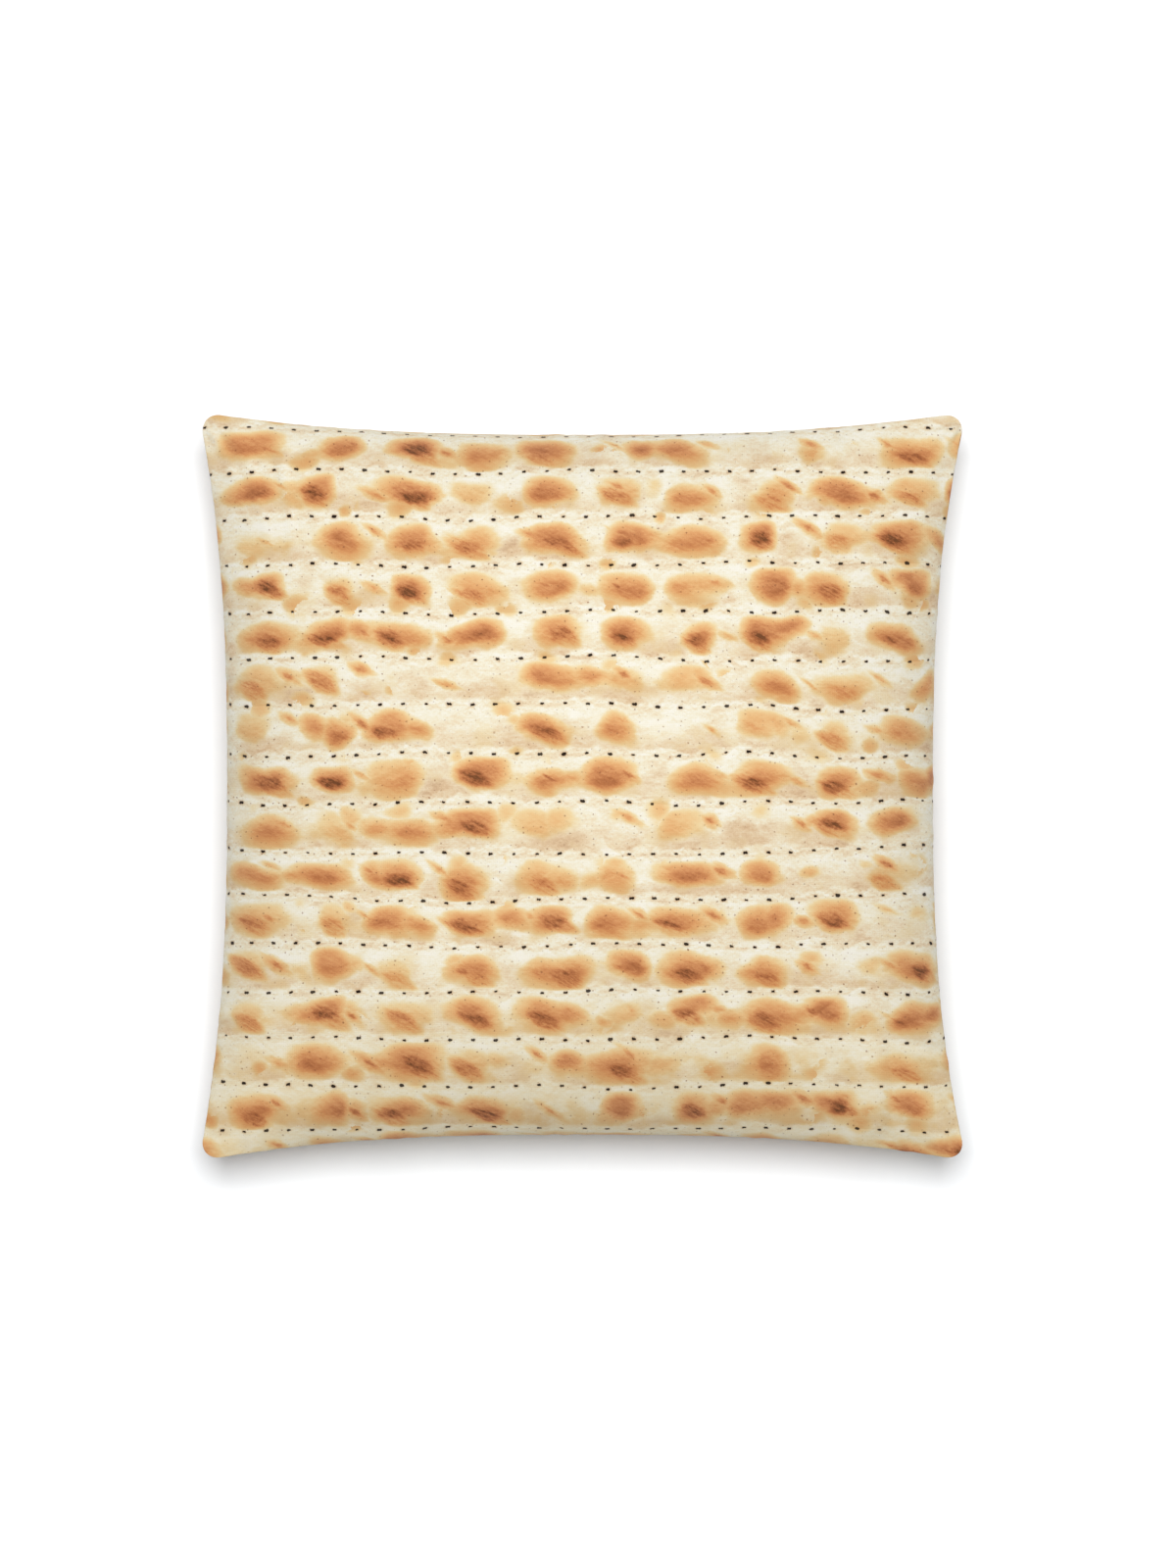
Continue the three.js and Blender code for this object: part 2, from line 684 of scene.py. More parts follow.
@dataclass(frozen=True)
class Sliver(Effect):
    """Thin slanting blisters, golden at the rim and dark along the middle."""

    NAME: ClassVar[str] = "Sliver"
    TAKES: ClassVar[Ports] = places("Place") + numbers("Band", "Streak")
    GIVES: ClassVar[Ports] = numbers("Toast", "Scorch")

    pitch: float = 51.0
    share: float = 0.85  # how many cells have one
    long: Span = (7.0, 12.0)
    wide: Span = (2.4, 4.4)
    square: float = 1.5
    fade: float = 1.5  # where one ends, in half lengths
    rest: float = 2.4  # how far over its band's middle they sit
    reach: float = 4.2  # and how far over or under that one may stray
    slope: float = math.radians(27.0)
    lean: float = 0.35  # how far the slopes differ
    brushing: float = 0.4  # how far streaks fray one
    heat: Span = (0.25, 0.6)
    line_edge: Span = (0.6, 0.1)
    line_heat: Span = (0.3, 1.0)

    def draw(self, on: Drawing, takes: Mapping[str, Value]) -> Dict[str, Feed]:
        """Draws at most one sliver in each cell of a band."""
        x, y, _ = on.parts(takes["Place"])
        steps = x / self.pitch
        cell = on.place(on.math("FLOOR", steps), takes["Band"])
        shift, rise, size = on.draws(cell, 81.3)
        lot, tone, lean = on.draws(cell, 83.9)
        spare = self.pitch / 2.0 - self.long[1] * self.fade
        off_x = on.swing(on.math("FRACT", steps), self.pitch)
        off_x = off_x - on.swing(shift, 2.0 * spare)
        off_y = y - (on.swing(rise, 2.0 * self.reach) + self.rest)
        slant = on.slant(self.slope + on.swing(lean, self.lean))
        half = (on.between(*self.long, size), on.between(*self.wide, tone))
        lens = on.oval((off_x, off_y), slant, half, self.square)
        lens = lens - takes["Streak"] * self.brushing
        kept = on.math("LESS_THAN", lot, self.share)
        toast = on.step(lens, self.fade, 0.0) * on.between(*self.heat, tone)
        line = on.step(lens, *self.line_edge) * on.between(*self.line_heat, lean)
        return {"Toast": toast * kept, "Scorch": line * kept}


@dataclass(frozen=True)
class Freckle(Effect):
    """Small pale toasted freckles, scattered between the blisters."""

    NAME: ClassVar[str] = "Freckle"
    TAKES: ClassVar[Ports] = places("Place")
    GIVES: ClassVar[Ports] = numbers("Toast")

    pitch: float = 30.0
    share: float = 0.7  # how many cells have one
    radius: Span = (2.8, 6.6)
    squash: float = 1.35  # width over height
    fade: float = 1.5  # where one ends, in radii
    heat: Span = (0.1, 0.42)

    def draw(self, on: Drawing, takes: Mapping[str, Value]) -> Dict[str, Feed]:
        """Draws at most one freckle in each square cell, clear of the cell's edges."""
        share = 1.0 / self.pitch
        grid = on.vector("MULTIPLY", takes["Place"], (share, share, 0.0))
        cell = on.vector("FLOOR", grid)
        shift, rise, size = on.draws(cell, 11.3)
        lot, tone, _ = on.draws(cell, 12.9)
        across, up, _ = on.parts(on.scaled(on.vector("FRACTION", grid), self.pitch))
        radius = on.between(*self.radius, size)
        clear = radius * (self.fade * self.squash)
        room = self.pitch - clear * 2.0
        off_x = across - (clear + shift * room)
        off_y = up - (clear + rise * room)
        squashed = on.place(off_x / self.squash, off_y)
        out = on.node("ShaderNodeVectorMath", operation="LENGTH")
        on.feed(out.inputs[0], squashed)
        patch = on.step(on.read(out, "Value") / radius, self.fade, 0.0)
        kept = on.math("LESS_THAN", lot, self.share)
        return {"Toast": patch * kept * on.between(*self.heat, tone)}


@dataclass(frozen=True)
class PrickMarks(Effect):
    """The rows of small dark marks that a docking wheel leaves, each like a frayed bow tie."""

    NAME: ClassVar[str] = "Prick marks"
    TAKES: ClassVar[Ports] = numbers("Across", "Off", "Line")
    GIVES: ClassVar[Ports] = numbers("Mark", "Rim")

    pitch: float = 13.4
    offset: float = 0.5  # how far rows start off from each other, in pitches
    knot: float = 0.56  # from a mark's middle to each of its two blots
    blot: float = 0.84  # radius of a blot
    size: Span = (0.7, 1.1)
    wander: float = 0.6
    lean: float = 0.3
    fray: float = 1.0
    fray_size: float = 1.5
    run_together: Span = (0.15, 0.75)
    edge: Span = (1.15, 0.8)  # in radii of a blot
    dark: Span = (0.94, 1.0)
    rim_edge: Span = (2.6, 1.1)
    rim_dark: Span = (0.3, 1.0)

    def draw(self, on: Drawing, takes: Mapping[str, Value]) -> Dict[str, Feed]:
        """Draws one short frayed mark at each step along a row."""
        across, off, line = takes["Across"], takes["Off"], takes["Line"]
        start, _, _ = on.draws(on.place(line, 0.0), 21.1)
        steps = across / self.pitch + start * self.offset
        cell = on.place(on.math("FLOOR", steps), line)
        shift, rise, size = on.draws(cell, 22.7)
        dark, lean, run = on.draws(cell, 24.3)
        off_x = on.swing(on.math("FRACT", steps), self.pitch)
        off_x = off_x - on.swing(shift, self.wander)
        off_y = off - on.swing(rise, self.wander)
        off_y = off_y + off_x * on.swing(lean, self.lean)
        row = off + line * self.pitch
        place = on.place(across, row)
        _, fray = on.cloud(place, self.fray_size, detail=2.0, rough=0.6, salt=5.7)
        fray_x, fray_y, _ = on.parts(fray)
        off_x = off_x + on.swing(fray_x, self.fray)
        off_y = off_y + on.swing(fray_y, self.fray)
        grown = on.between(*self.size, size)
        # Some are two blots side by side, and others have run together into a dash.
        apart = on.math("ABSOLUTE", off_x) - grown * self.knot
        one = on.math("MAXIMUM", apart, 0.0)
        beside = on.between(apart, one, on.step(run, *self.run_together))
        squares = on.math("POWER", beside, 2.0) + on.math("POWER", off_y, 2.0)
        out = on.math("SQRT", squares) / (grown * self.blot)
        mark = on.step(out, *self.edge) * on.between(*self.dark, dark)
        rim = on.step(out, *self.rim_edge) * on.between(*self.rim_dark, dark)
        return {"Mark": mark, "Rim": rim}


@dataclass(frozen=True)
class Specks(Effect):
    """Fine scattered flecks of bran."""

    NAME: ClassVar[str] = "Specks"
    TAKES: ClassVar[Ports] = places("Place")
    GIVES: ClassVar[Ports] = numbers("Speck")

    spacing: float = 3.4
    share: float = 0.5  # how many cells have one
    radius: Span = (0.14, 0.5)
    radius_power: float = 2.5  # more than 1 makes more of them small
    edge: Span = (1.7, 0.3)  # in radii
    dark: Span = (0.2, 0.9)
    fray: float = 1.1
    fray_size: float = 0.8

    def draw(self, on: Drawing, takes: Mapping[str, Value]) -> Dict[str, Feed]:
        """Draws a fleck in some of the cells, most of them faint."""
        _, stray = on.cloud(takes["Place"], self.fray_size, detail=1.0, salt=63.0)
        stray = on.swings(stray, self.fray)
        made = on.node("ShaderNodeTexVoronoi", voronoi_dimensions="2D")
        on.feed(made.inputs["Vector"], on.vector("ADD", takes["Place"], stray))
        on.feed(made.inputs["Scale"], 1.0 / self.spacing)
        size, lot, tone = on.parts(on.read(made, "Color"))
        away = on.read(made, "Distance") * self.spacing
        radius = on.between(*self.radius, on.math("POWER", size, self.radius_power))
        dot = on.step(away, *(radius * share for share in self.edge))
        kept = on.math("LESS_THAN", lot, self.share)
        return {"Speck": dot * kept * on.between(*self.dark, tone)}


@dataclass(frozen=True)
class ReliefLayer:
    """One layer of the crust's relief: a cloud whose slope is read up the print."""

    size: float  # width of its forms
    reach: float  # the step that their slope is read over
    strength: float
    detail: float
    salt: float
    ridged: bool = False  # True to turn it over at half, which makes sharp folds

    def slope(self, on: Drawing, place: Feed) -> Value:
        """Reads how steeply the layer falls, up the print."""
        levels = []
        for aside in (0.0, self.reach):
            spot = on.vector("ADD", place, (0.0, aside, 0.0))
            level, _ = on.cloud(spot, self.size, detail=self.detail, rough=0.55, salt=self.salt)
            level = level - 0.5
            levels.append(on.math("ABSOLUTE", level) if self.ridged else level)
        return levels[0] - levels[1]


@dataclass(frozen=True)
class Relief(Effect):
    """The light and shade of a lumpy, folded crust, printed as if lit from above."""

    NAME: ClassVar[str] = "Relief"
    TAKES: ClassVar[Ports] = places("Place")
    GIVES: ClassVar[Ports] = numbers("Shade")

    lumps: ReliefLayer = ReliefLayer(size=10.0, reach=1.1, strength=2.3, detail=3.0, salt=101.0)
    crumbs: ReliefLayer = ReliefLayer(size=3.4, reach=0.5, strength=1.7, detail=2.0, salt=102.0)
    folds: ReliefLayer = ReliefLayer(
        size=26.0, reach=1.3, strength=6.0, detail=1.5, salt=103.0, ridged=True
    )
    folded: Span = (0.42, 0.6)  # the patches that have folds
    folded_size: float = 70.0
    drawn: float = 0.8

    def draw(self, on: Drawing, takes: Mapping[str, Value]) -> Dict[str, Feed]:
        """Adds up the slopes of the lumps, crumbs and folds."""
        wide = on.drawn_out(takes["Place"], self.drawn)
        lumps = self.lumps.slope(on, wide) * self.lumps.strength
        crumbs = self.crumbs.slope(on, wide)
        folds = self.folds.slope(on, wide)
        folded, _ = on.cloud(takes["Place"], self.folded_size, detail=1.0, salt=104.0)
        folds = folds * on.step(folded, *self.folded)
        lit = lumps + crumbs * self.crumbs.strength
        return {"Shade": lit + folds * self.folds.strength}


@dataclass(frozen=True)
class BandLight(Effect):
    """How each band bulges: the light catches its upper part, and its lower part lies in shade."""

    NAME: ClassVar[str] = "Band light"
    TAKES: ClassVar[Ports] = places("Place") + numbers("Height")
    GIVES: ClassVar[Ports] = numbers("Shade", "Glow")

    uneven: float = 34.0  # how far the edge of the shade strays
    uneven_size: float = 20.0
    uneven_drawn: float = 0.7
    uneven_foot: float = -11.9  # how far the shade's lower edge strays
    crumble: float = 5.0  # and how ragged it is
    crumble_size: float = 7.0
    shade: Span = (2.0, -9.0)
    shade_end: Span = (-12.2, -9.2)  # a crumbly edge over the pressed strip
    patches: float = 40.0  # from a stretch in deep shade to one in light shade
    depth: Span = (0.35, 1.0)
    deep: Span = (0.4, 0.6)
    glow: Span = (-1.0, 7.0)
    glow_end: Span = (13.0, 10.0)
    strip_glow: float = 0.5

    def draw(self, on: Drawing, takes: Mapping[str, Value]) -> Dict[str, Feed]:
        """Draws the shade and the light, with edges that stray up and down."""
        place, height = takes["Place"], takes["Height"]
        drawn = on.drawn_out(place, self.uneven_drawn)
        dip, _ = on.cloud(drawn, self.uneven_size, detail=2.0, salt=39.0)
        crumble, _ = on.cloud(place, self.crumble_size, detail=2.0, rough=0.6, salt=49.0)
        bulge = height + on.swing(dip, self.uneven)
        foot = height + on.swing(dip, self.uneven_foot)
        foot = foot + on.swing(crumble, self.crumble)
        depth, _ = on.cloud(place, self.patches, detail=1.0, salt=47.0)
        shade = on.step(bulge, *self.shade) * on.step(foot, *self.shade_end)
        shade = shade * on.between(*self.depth, on.step(depth, *self.deep))
        glow = on.step(bulge, *self.glow) * on.step(height, *self.glow_end)
        strip = on.step(foot, *reversed(self.shade_end))
        glow = on.math("MAXIMUM", glow, strip * self.strip_glow)
        return {"Shade": shade, "Glow": glow}


@dataclass(frozen=True)
class Dough(Effect):
    """The untoasted ground: cream, mottled and lumpy, more pinkish in the hollows."""

    NAME: ClassVar[str] = "Dough"
    TAKES: ClassVar[Ports] = places("Place") + numbers("Off", "Relief", "Shade", "Glow")
    GIVES: ClassVar[Ports] = (Port("Colour", Kind.COLOUR),)

    middle: float = 0.56  # the tone of bare ground, of 1
    glow: float = 0.2
    shade: float = 0.16
    slow: float = 0.5  # how far slow patches change the tone
    slow_size: float = 40.0
    patch: float = 0.75
    patch_size: float = 14.0
    patch_drawn: float = 0.8
    crease: float = 0.3
    crease_size: float = 3.6
    mottle: float = 0.44
    mottle_size: float = 1.5
    relief: Span = (0.45, 0.75)  # far from the marks and near them
    near: Span = (8.0, 1.0)
    tones: Stops = (
        (0.0, linear(214, 187, 154)),
        (0.22, linear(228, 204, 170)),
        (0.42, linear(237, 219, 187)),
        (0.6, linear(241, 230, 202)),
        (0.76, linear(244, 238, 217)),
        (1.0, linear(248, 244, 231)),
    )

    def draw(self, on: Drawing, takes: Mapping[str, Value]) -> Dict[str, Feed]:
        """Adds up slow patches, creases and fine mottling, and looks up the tone."""
        place = takes["Place"]
        drawn = on.drawn_out(place, self.patch_drawn)
        clouds = (
            (on.cloud(place, self.slow_size, detail=2.0, salt=31.0), self.slow),
            (on.cloud(drawn, self.patch_size, detail=3.0, rough=0.55, salt=33.0), self.patch),
            (on.cloud(place, self.crease_size, detail=3.0, rough=0.7, salt=35.0), self.crease),
            (on.cloud(place, self.mottle_size, detail=2.0, rough=0.7, salt=37.0), self.mottle),
        )
        lit = takes["Glow"] * self.glow
        tone = self.middle + lit - takes["Shade"] * self.shade
        for (cloud, _), weight in clouds:
            tone = tone + on.swing(cloud, weight)
        near = on.step(on.math("ABSOLUTE", takes["Off"]), *self.near)
        shaded = takes["Relief"] * on.between(*self.relief, near)
        return {"Colour": on.ramp(tone + shaded, self.tones)}


@dataclass(frozen=True)
class PlainWeave(Effect):
    """Plain-woven cloth: threads over and under, each a little thicker here and thinner there."""

    NAME: ClassVar[str] = "Plain weave"
    TAKES: ClassVar[Ports] = places("Place") + numbers("Thread")
    GIVES: ClassVar[Ports] = numbers("Height", "Gap", "Slub")

    stray: float = 1.6  # how far the threads wander off the straight
    stray_size: float = 22.0
    crossing: Span = (0.55, 1.0)  # height of a thread at its sides and along its middle
    slub_long: float = 14.0
    slub: Span = (0.6, 1.25)
    gap: Span = (0.55, 0.1)

    def draw(self, on: Drawing, takes: Mapping[str, Value]) -> Dict[str, Feed]:
        """Draws warp and weft as a checker of rounded crossings."""
        _, stray = on.cloud(takes["Place"], self.stray_size, detail=2.0, salt=41.0)
        place = on.vector("ADD", takes["Place"], on.swings(stray, self.stray))
        across, up, _ = on.parts(place)
        warp = across / takes["Thread"]
        weft = up / takes["Thread"]
        warp_round = on.math("SINE", on.math("FRACT", warp) * math.pi)
        weft_round = on.math("SINE", on.math("FRACT", weft) * math.pi)
        count = on.math("FLOOR", warp) + on.math("FLOOR", weft)
        over = on.math("FLOORED_MODULO", count, 2.0)
        top = on.between(
            weft_round * on.between(*self.crossing, warp_round),
            warp_round * on.between(*self.crossing, weft_round),
            over,
        )
        along_warp = on.place(on.math("FLOOR", warp), up / self.slub_long)
        warp_slub, _ = on.cloud(along_warp, 1.0, salt=43.0)
        along_weft = on.place(across / self.slub_long, on.math("FLOOR", weft))
        weft_slub, _ = on.cloud(along_weft, 1.0, salt=45.0)
        slub = on.between(weft_slub, warp_slub, over)
        height = top * on.between(*self.slub, slub)
        return {"Height": height, "Gap": on.step(top, *self.gap), "Slub": slub}


# ---------------------------------------------------------------------------
# Finishes
# ---------------------------------------------------------------------------


class Finish:
    """A finish, which becomes one material."""

    NAME: ClassVar[str] = ""
    FIXED: ClassVar[Mapping[str, float]] = {}  # shader inputs that are the same all over

    def dress(self, on: Drawing, shader: bpy.types.Node) -> None:
        """Sets and links the shader inputs that aren't in FIXED.

        Args:
            on: The material's drawing.
            shader: Its Principled BSDF.
        """
        raise NotImplementedError

    def make(self) -> bpy.types.Material:
        """Builds the material."""
        material = bpy.data.materials.new(self.NAME)
        material.use_nodes = True
        tree = material.node_tree
        shader = tree.nodes["Principled BSDF"]
        for name, value in self.FIXED.items():
            shader.inputs[name].default_value = value
        self.dress(Drawing(tree), shader)
        return material

    @staticmethod
    def emboss(
        on: Drawing, shader: bpy.types.Node, height: Feed, strength: float, depth: float
    ) -> None:
        """Makes a height show on the surface.

        Args:
            on: The material's drawing.
            shader: Its Principled BSDF.
            height: How high a point stands, from 0 to 1.
            strength: The Bump node's strength.
            depth: The relief's depth in metres.
        """
        bump = on.node("ShaderNodeBump")
        bump.inputs["Strength"].default_value = strength
        bump.inputs["Distance"].default_value = depth
        on.feed(bump.inputs["Height"], height)
        on.feed(shader.inputs["Normal"], on.read(bump, "Normal"))


@dataclass(frozen=True)
class Brushing:
    """The way that toasted flour is brushed out: streaks that slant down to the right."""

    slope: float = math.radians(27.0)
    streak_size: float = 2.4
    streak_drawn: float = 0.16  # a streak's width over its length
    grain_size: float = 1.25
    grain_drawn: float = 0.45

    def draw(self, on: Drawing, place: Feed) -> Tuple[Value, Value]:
        """Draws long streaks and a short fine grain, each around 0."""
        turned = on.node("ShaderNodeVectorRotate", rotation_type="Z_AXIS")
        on.feed(turned.inputs["Vector"], place)
        turned.inputs["Angle"].default_value = self.slope
        along = on.read(turned)
        drawn = on.drawn_out(along, self.streak_drawn)
        streak, _ = on.cloud(drawn, self.streak_size, detail=2.0, rough=0.6, salt=59.0)
        streak = streak - 0.5
        drawn = on.drawn_out(along, self.grain_drawn)
        grain, _ = on.cloud(drawn, self.grain_size, detail=3.0, rough=0.75, salt=55.0)
        return streak, grain - 0.5


@dataclass(frozen=True)
class BlushAndBottomShade:
    """The faint toast between the blisters, where the crust has only begun to colour, and a
    painted shade that darkens and warms the print towards its bottom edge.
    """

    most: float = 0.11
    patch_size: float = 17.0
    patches: Span = (0.34, 0.72)
    low: Span = (14.0, -2.0)  # heights in a band that have less of it and more
    clear: Span = (-13.8, -9.0)  # over the strip that the marks are pressed into
    foot: Span = (-60.0, -200.0)  # painted shade: where, up the print, it darkens and warms towards its bottom edge
    # how much toast the painted shade at the bottom adds
    bottom_shade_most: float = 0.1

    def draw(self, on: Drawing, place: Feed, fray: Feed, height: Feed) -> Value:
        """Draws the toast that is added to bare ground, painted shade towards the bottom included.

        Args:
            on: The material's drawing.
            place: Where on the cloth.
            fray: How far edges stray there.
            height: How high in its band the place is.

        Returns:
            A share of full toast.
        """
        warm, _ = on.cloud(on.vector("ADD", place, fray), self.patch_size, detail=2.0, salt=61.0)
        warm = on.step(warm, *self.patches) * on.step(height, *self.low)
        warm = warm * on.step(height, *self.clear) * self.most
        # Painted shade: more toast low on the print, so it darkens and warms towards its bottom
        # edge.
        _, up, _ = on.parts(place)
        foot = on.step(up, *self.foot)
        return warm + foot * self.bottom_shade_most


@dataclass(frozen=True)
class Crust:
    """How the toasted crust takes colour: its ramp, its grain and its scorches."""

    full: float = 1.3  # the toast and scorch that the ramp's last stop stands for
    shown: Span = (0.0, 0.16)  # depths over which the crust hides the ground
    scorch: Span = (0.15, 0.42)  # what a scorch adds to bare ground and to full toast
    scorch_grain: float = 2.2
    pore_size: float = 0.95
    pores: Span = (0.62, 0.78)
    pored: Span = (0.45, 1.0)  # toast that has few pores and many
    grain: float = 0.36
    pore: float = 0.18
    streak: float = 0.2
    relief: float = 0.2
    ramp: Stops = (
        (0.0, linear(243, 234, 208)),
        (0.07, linear(242, 227, 187)),
        (0.15, linear(241, 215, 164)),
        (0.24, linear(239, 200, 144)),
        (0.33, linear(235, 186, 128)),
        (0.42, linear(229, 170, 113)),
        (0.51, linear(219, 154, 101)),
        (0.60, linear(206, 138, 89)),
        (0.68, linear(193, 125, 79)),
        (0.77, linear(177, 111, 69)),
        (0.87, linear(156, 96, 58)),
        (1.0, linear(120, 74, 42)),
    )

    def draw(
        self,
        on: Drawing,
        place: Feed,
        toast: Feed,
        scorch: Feed,
        brushed: Tuple[Feed, Feed],
    ) -> Tuple[Value, Value]:
        """Works out how deeply the crust has browned.

        Args:
            on: The material's drawing.
            place: Where on the cloth.
            toast: How far it has toasted.
            scorch: How far it is scorched.
            brushed: The streaks and the grain.

        Returns:
            The depth, from 0 to 1, and the crust's printed relief.
        """
        streak, grain = brushed
        scorch = scorch * on.between(*self.scorch, toast)
        scorch = scorch + scorch * grain * self.scorch_grain
        pores, _ = on.cloud(place, self.pore_size, detail=1.0, salt=57.0)
        pores = on.step(pores, *self.pores) * on.step(toast, *self.pored)
        rough = grain * self.grain + pores * self.pore
        rough = rough + streak * self.streak
        relief = Relief().on(on, Place=place)["Shade"]
        rough = rough - relief * self.relief
        grained = toast + rough * toast
        return (grained + scorch) / self.full, relief


@dataclass(frozen=True)
class PrintedCloth(Finish):
    """The cover's finish: matt woven cloth, printed all over as toasted flatbread."""

    NAME: ClassVar[str] = "printed_cloth"
    FIXED: ClassVar[Mapping[str, float]] = {
        "Specular IOR Level": 0.15,
        "Sheen Weight": 0.08,
        "Sheen Roughness": 0.5,
    }

    uv_map: str = "print"
    thread: float = 1.05  # from one thread to the next, in millimetres
    weave_depth: float = 0.00016  # metres
    weave_strength: float = 0.6
    roughness: Span = (0.78, 0.92)
    cloth: Colour = (0.75, 0.75, 0.75)  # the share of light that the bare cloth sends back
    gap: Colour = linear(222, 214, 204)
    gap_share: float = 0.15
    warp: float = 11.0  # how far the blisters' forms are bent
    warp_size: float = 26.0
    fray: float = 1.9  # how far their edges are frayed
    fray_size: float = 4.0
    brushing: Brushing = field(default_factory=Brushing)
    blush_and_bottom_shade: BlushAndBottomShade = field(default_factory=BlushAndBottomShade)
    crust: Crust = field(default_factory=Crust)
    toasted: Span = (0.1, 0.5)  # toast over which the band's shade fades out
    band_shade: Colour = (0.92, 0.84, 0.77)  # what the shade at a band's foot leaves
    toasted_shade: float = 0.4  # the share of it that toast keeps
    under: Span = (7.0, -7.0)  # where in a band the blisters lie in shade
    under_shade: Colour = (0.9, 0.84, 0.77)
    under_relief: float = 12.0  # how far the relief moves that shade
    browned: Span = (0.04, 0.24)
    speck: Colour = linear(142, 88, 56)
    mark: Colour = linear(30, 14, 0)
    mark_rim: Colour = linear(190, 140, 84)
    rim_share: float = 0.42

    def baked(
        self,
        on: Drawing,
        place: Feed,
        rows: Mapping[str, Value],
        streak: Feed,
        bends: Tuple[Feed, Feed],
    ) -> Tuple[Value, Value]:
        """Draws everything that the oven has browned.

        Args:
            on: The material's drawing.
            place: Where on the cloth.
            rows: What RowBands gives there.
            streak: The brushed streaks.
            bends: How far forms are bent there, and edges frayed.

        Returns:
            The toast, and the scorch on it.
        """
        warp, fray = bends
        row = BlisterRow().on(
            on,
            Across=rows["Across"],
            Height=rows["Height"],
            Band=rows["Band"],
            Warp=warp,
            Fray=fray,
            Streak=streak,
        )
        inside = on.vector("ADD", on.place(rows["Across"], rows["Height"]), fray)
        sliver = Sliver().on(on, Place=inside, Band=rows["Band"], Streak=streak)
        small = Freckle().on(on, Place=on.vector("ADD", on.vector("ADD", place, warp), fray))
        toast = on.math("MAXIMUM", row["Toast"], small["Toast"])
        toast = on.math("MAXIMUM", toast, sliver["Toast"])
        scorch = on.math("MAXIMUM", row["Scorch"], sliver["Scorch"])
        # This also brings the painted shade towards the print's bottom edge.
        warm = self.blush_and_bottom_shade.draw(on, place, fray, rows["Height"])
        return toast + (1.0 - toast) * warm, scorch

    def colour(self, on: Drawing, place: Feed) -> Value:
        """Draws the print.

        Args:
            on: The material's drawing.
            place: Where on the cloth, in millimetres.

        Returns:
            The print's colour.
        """
        rows = RowBands().on(on, Place=place)
        _, warp = on.cloud(place, self.warp_size, detail=0.5, salt=51.0)
        _, fray = on.cloud(place, self.fray_size, detail=3.0, rough=0.65, salt=53.0)
        bends = (on.swings(warp, self.warp), on.swings(fray, self.fray))
        brushed = self.brushing.draw(on, place)
        toast, scorch = self.baked(on, place, rows, brushed[0], bends)
        depth, relief = self.crust.draw(on, place, toast, scorch, brushed)
        bands = BandLight().on(on, Place=place, Height=rows["Height"])
        dough = Dough().on(
            on,
            Place=place,
            Off=rows["Off"],
            Relief=relief,
            Shade=bands["Shade"],
            Glow=bands["Glow"],
        )
        browned = on.ramp(depth, self.crust.ramp)
        shown = on.blend(dough["Colour"], browned, on.step(depth, *self.crust.shown))
        toasted = on.step(toast, *self.toasted)
        shade = bands["Shade"] * on.between(1.0, self.toasted_shade, toasted)
        shown = on.tinted(shown, self.band_shade, shade)
        rise = rows["Height"] + relief * self.under_relief
        under = on.step(rise, *self.under) * on.step(toast, *self.browned)
        shown = on.tinted(shown, self.under_shade, under)
        specks = Specks().on(on, Place=place)
        shown = on.blend(shown, self.speck, specks["Speck"])
        marks = PrickMarks().on(on, Across=rows["Across"], Off=rows["Off"], Line=rows["Line"])
        shown = on.blend(shown, self.mark_rim, marks["Rim"] * self.rim_share)
        return on.blend(shown, self.mark, marks["Mark"])

    def dress(self, on: Drawing, shader: bpy.types.Node) -> None:
        """Prints the cloth, darkens it a little between the threads and embosses its weave."""
        uv = on.node("ShaderNodeUVMap", uv_map=self.uv_map)
        place = on.scaled(on.read(uv, "UV"), 1.0 / MM)
        printed = self.colour(on, place)
        weave = PlainWeave().on(on, Place=place, Thread=self.thread)
        printed = on.tinted(printed, self.cloth, 1.0)
        # Darker between the threads, where the weave lies low.
        gap_darkened = on.tinted(printed, self.gap, weave["Gap"] * self.gap_share)
        on.feed(shader.inputs["Base Color"], gap_darkened)
        on.feed(shader.inputs["Roughness"], on.between(*self.roughness, weave["Slub"]))
        self.emboss(on, shader, weave["Height"], self.weave_strength, self.weave_depth)


@dataclass(frozen=True)
class SewingThread(Finish):
    """The seam's thread: cream, twisted from strands, with a slight sheen."""

    NAME: ClassVar[str] = "sewing_thread"
    FIXED: ClassVar[Mapping[str, float]] = {"Specular IOR Level": 0.35, "Sheen Weight": 0.1}

    cream: Colour = linear(238, 230, 208)
    shade: Colour = linear(205, 192, 166)
    twist: float = 0.5  # from one strand to the next, in millimetres
    twist_slant: float = 1.4
    twist_strength: float = 0.5
    twist_depth: float = 0.00005  # metres
    strand_share: float = 0.3  # what the strands add to the tone
    patch_size: float = 1.2
    patch_share: float = 0.8  # what slow patches add to it
    roughness: Span = (0.45, 0.6)

    def dress(self, on: Drawing, shader: bpy.types.Node) -> None:
        """Draws the twisted strands."""
        where = on.node("ShaderNodeTexCoord")
        across, up, high = on.parts(on.scaled(on.read(where, "Object"), 1.0 / MM))
        slant = across + up + high * self.twist_slant
        strand = on.math("SINE", slant * (2.0 * math.pi / self.twist))
        tone, _ = on.cloud(on.place(across + high, up), self.patch_size, detail=2.0, salt=71.0)
        share = strand * self.strand_share + tone * self.patch_share
        on.feed(shader.inputs["Base Color"], on.blend(self.cream, self.shade, share))
        on.feed(shader.inputs["Roughness"], on.between(*self.roughness, tone))
        self.emboss(on, shader, strand, self.twist_strength, self.twist_depth)


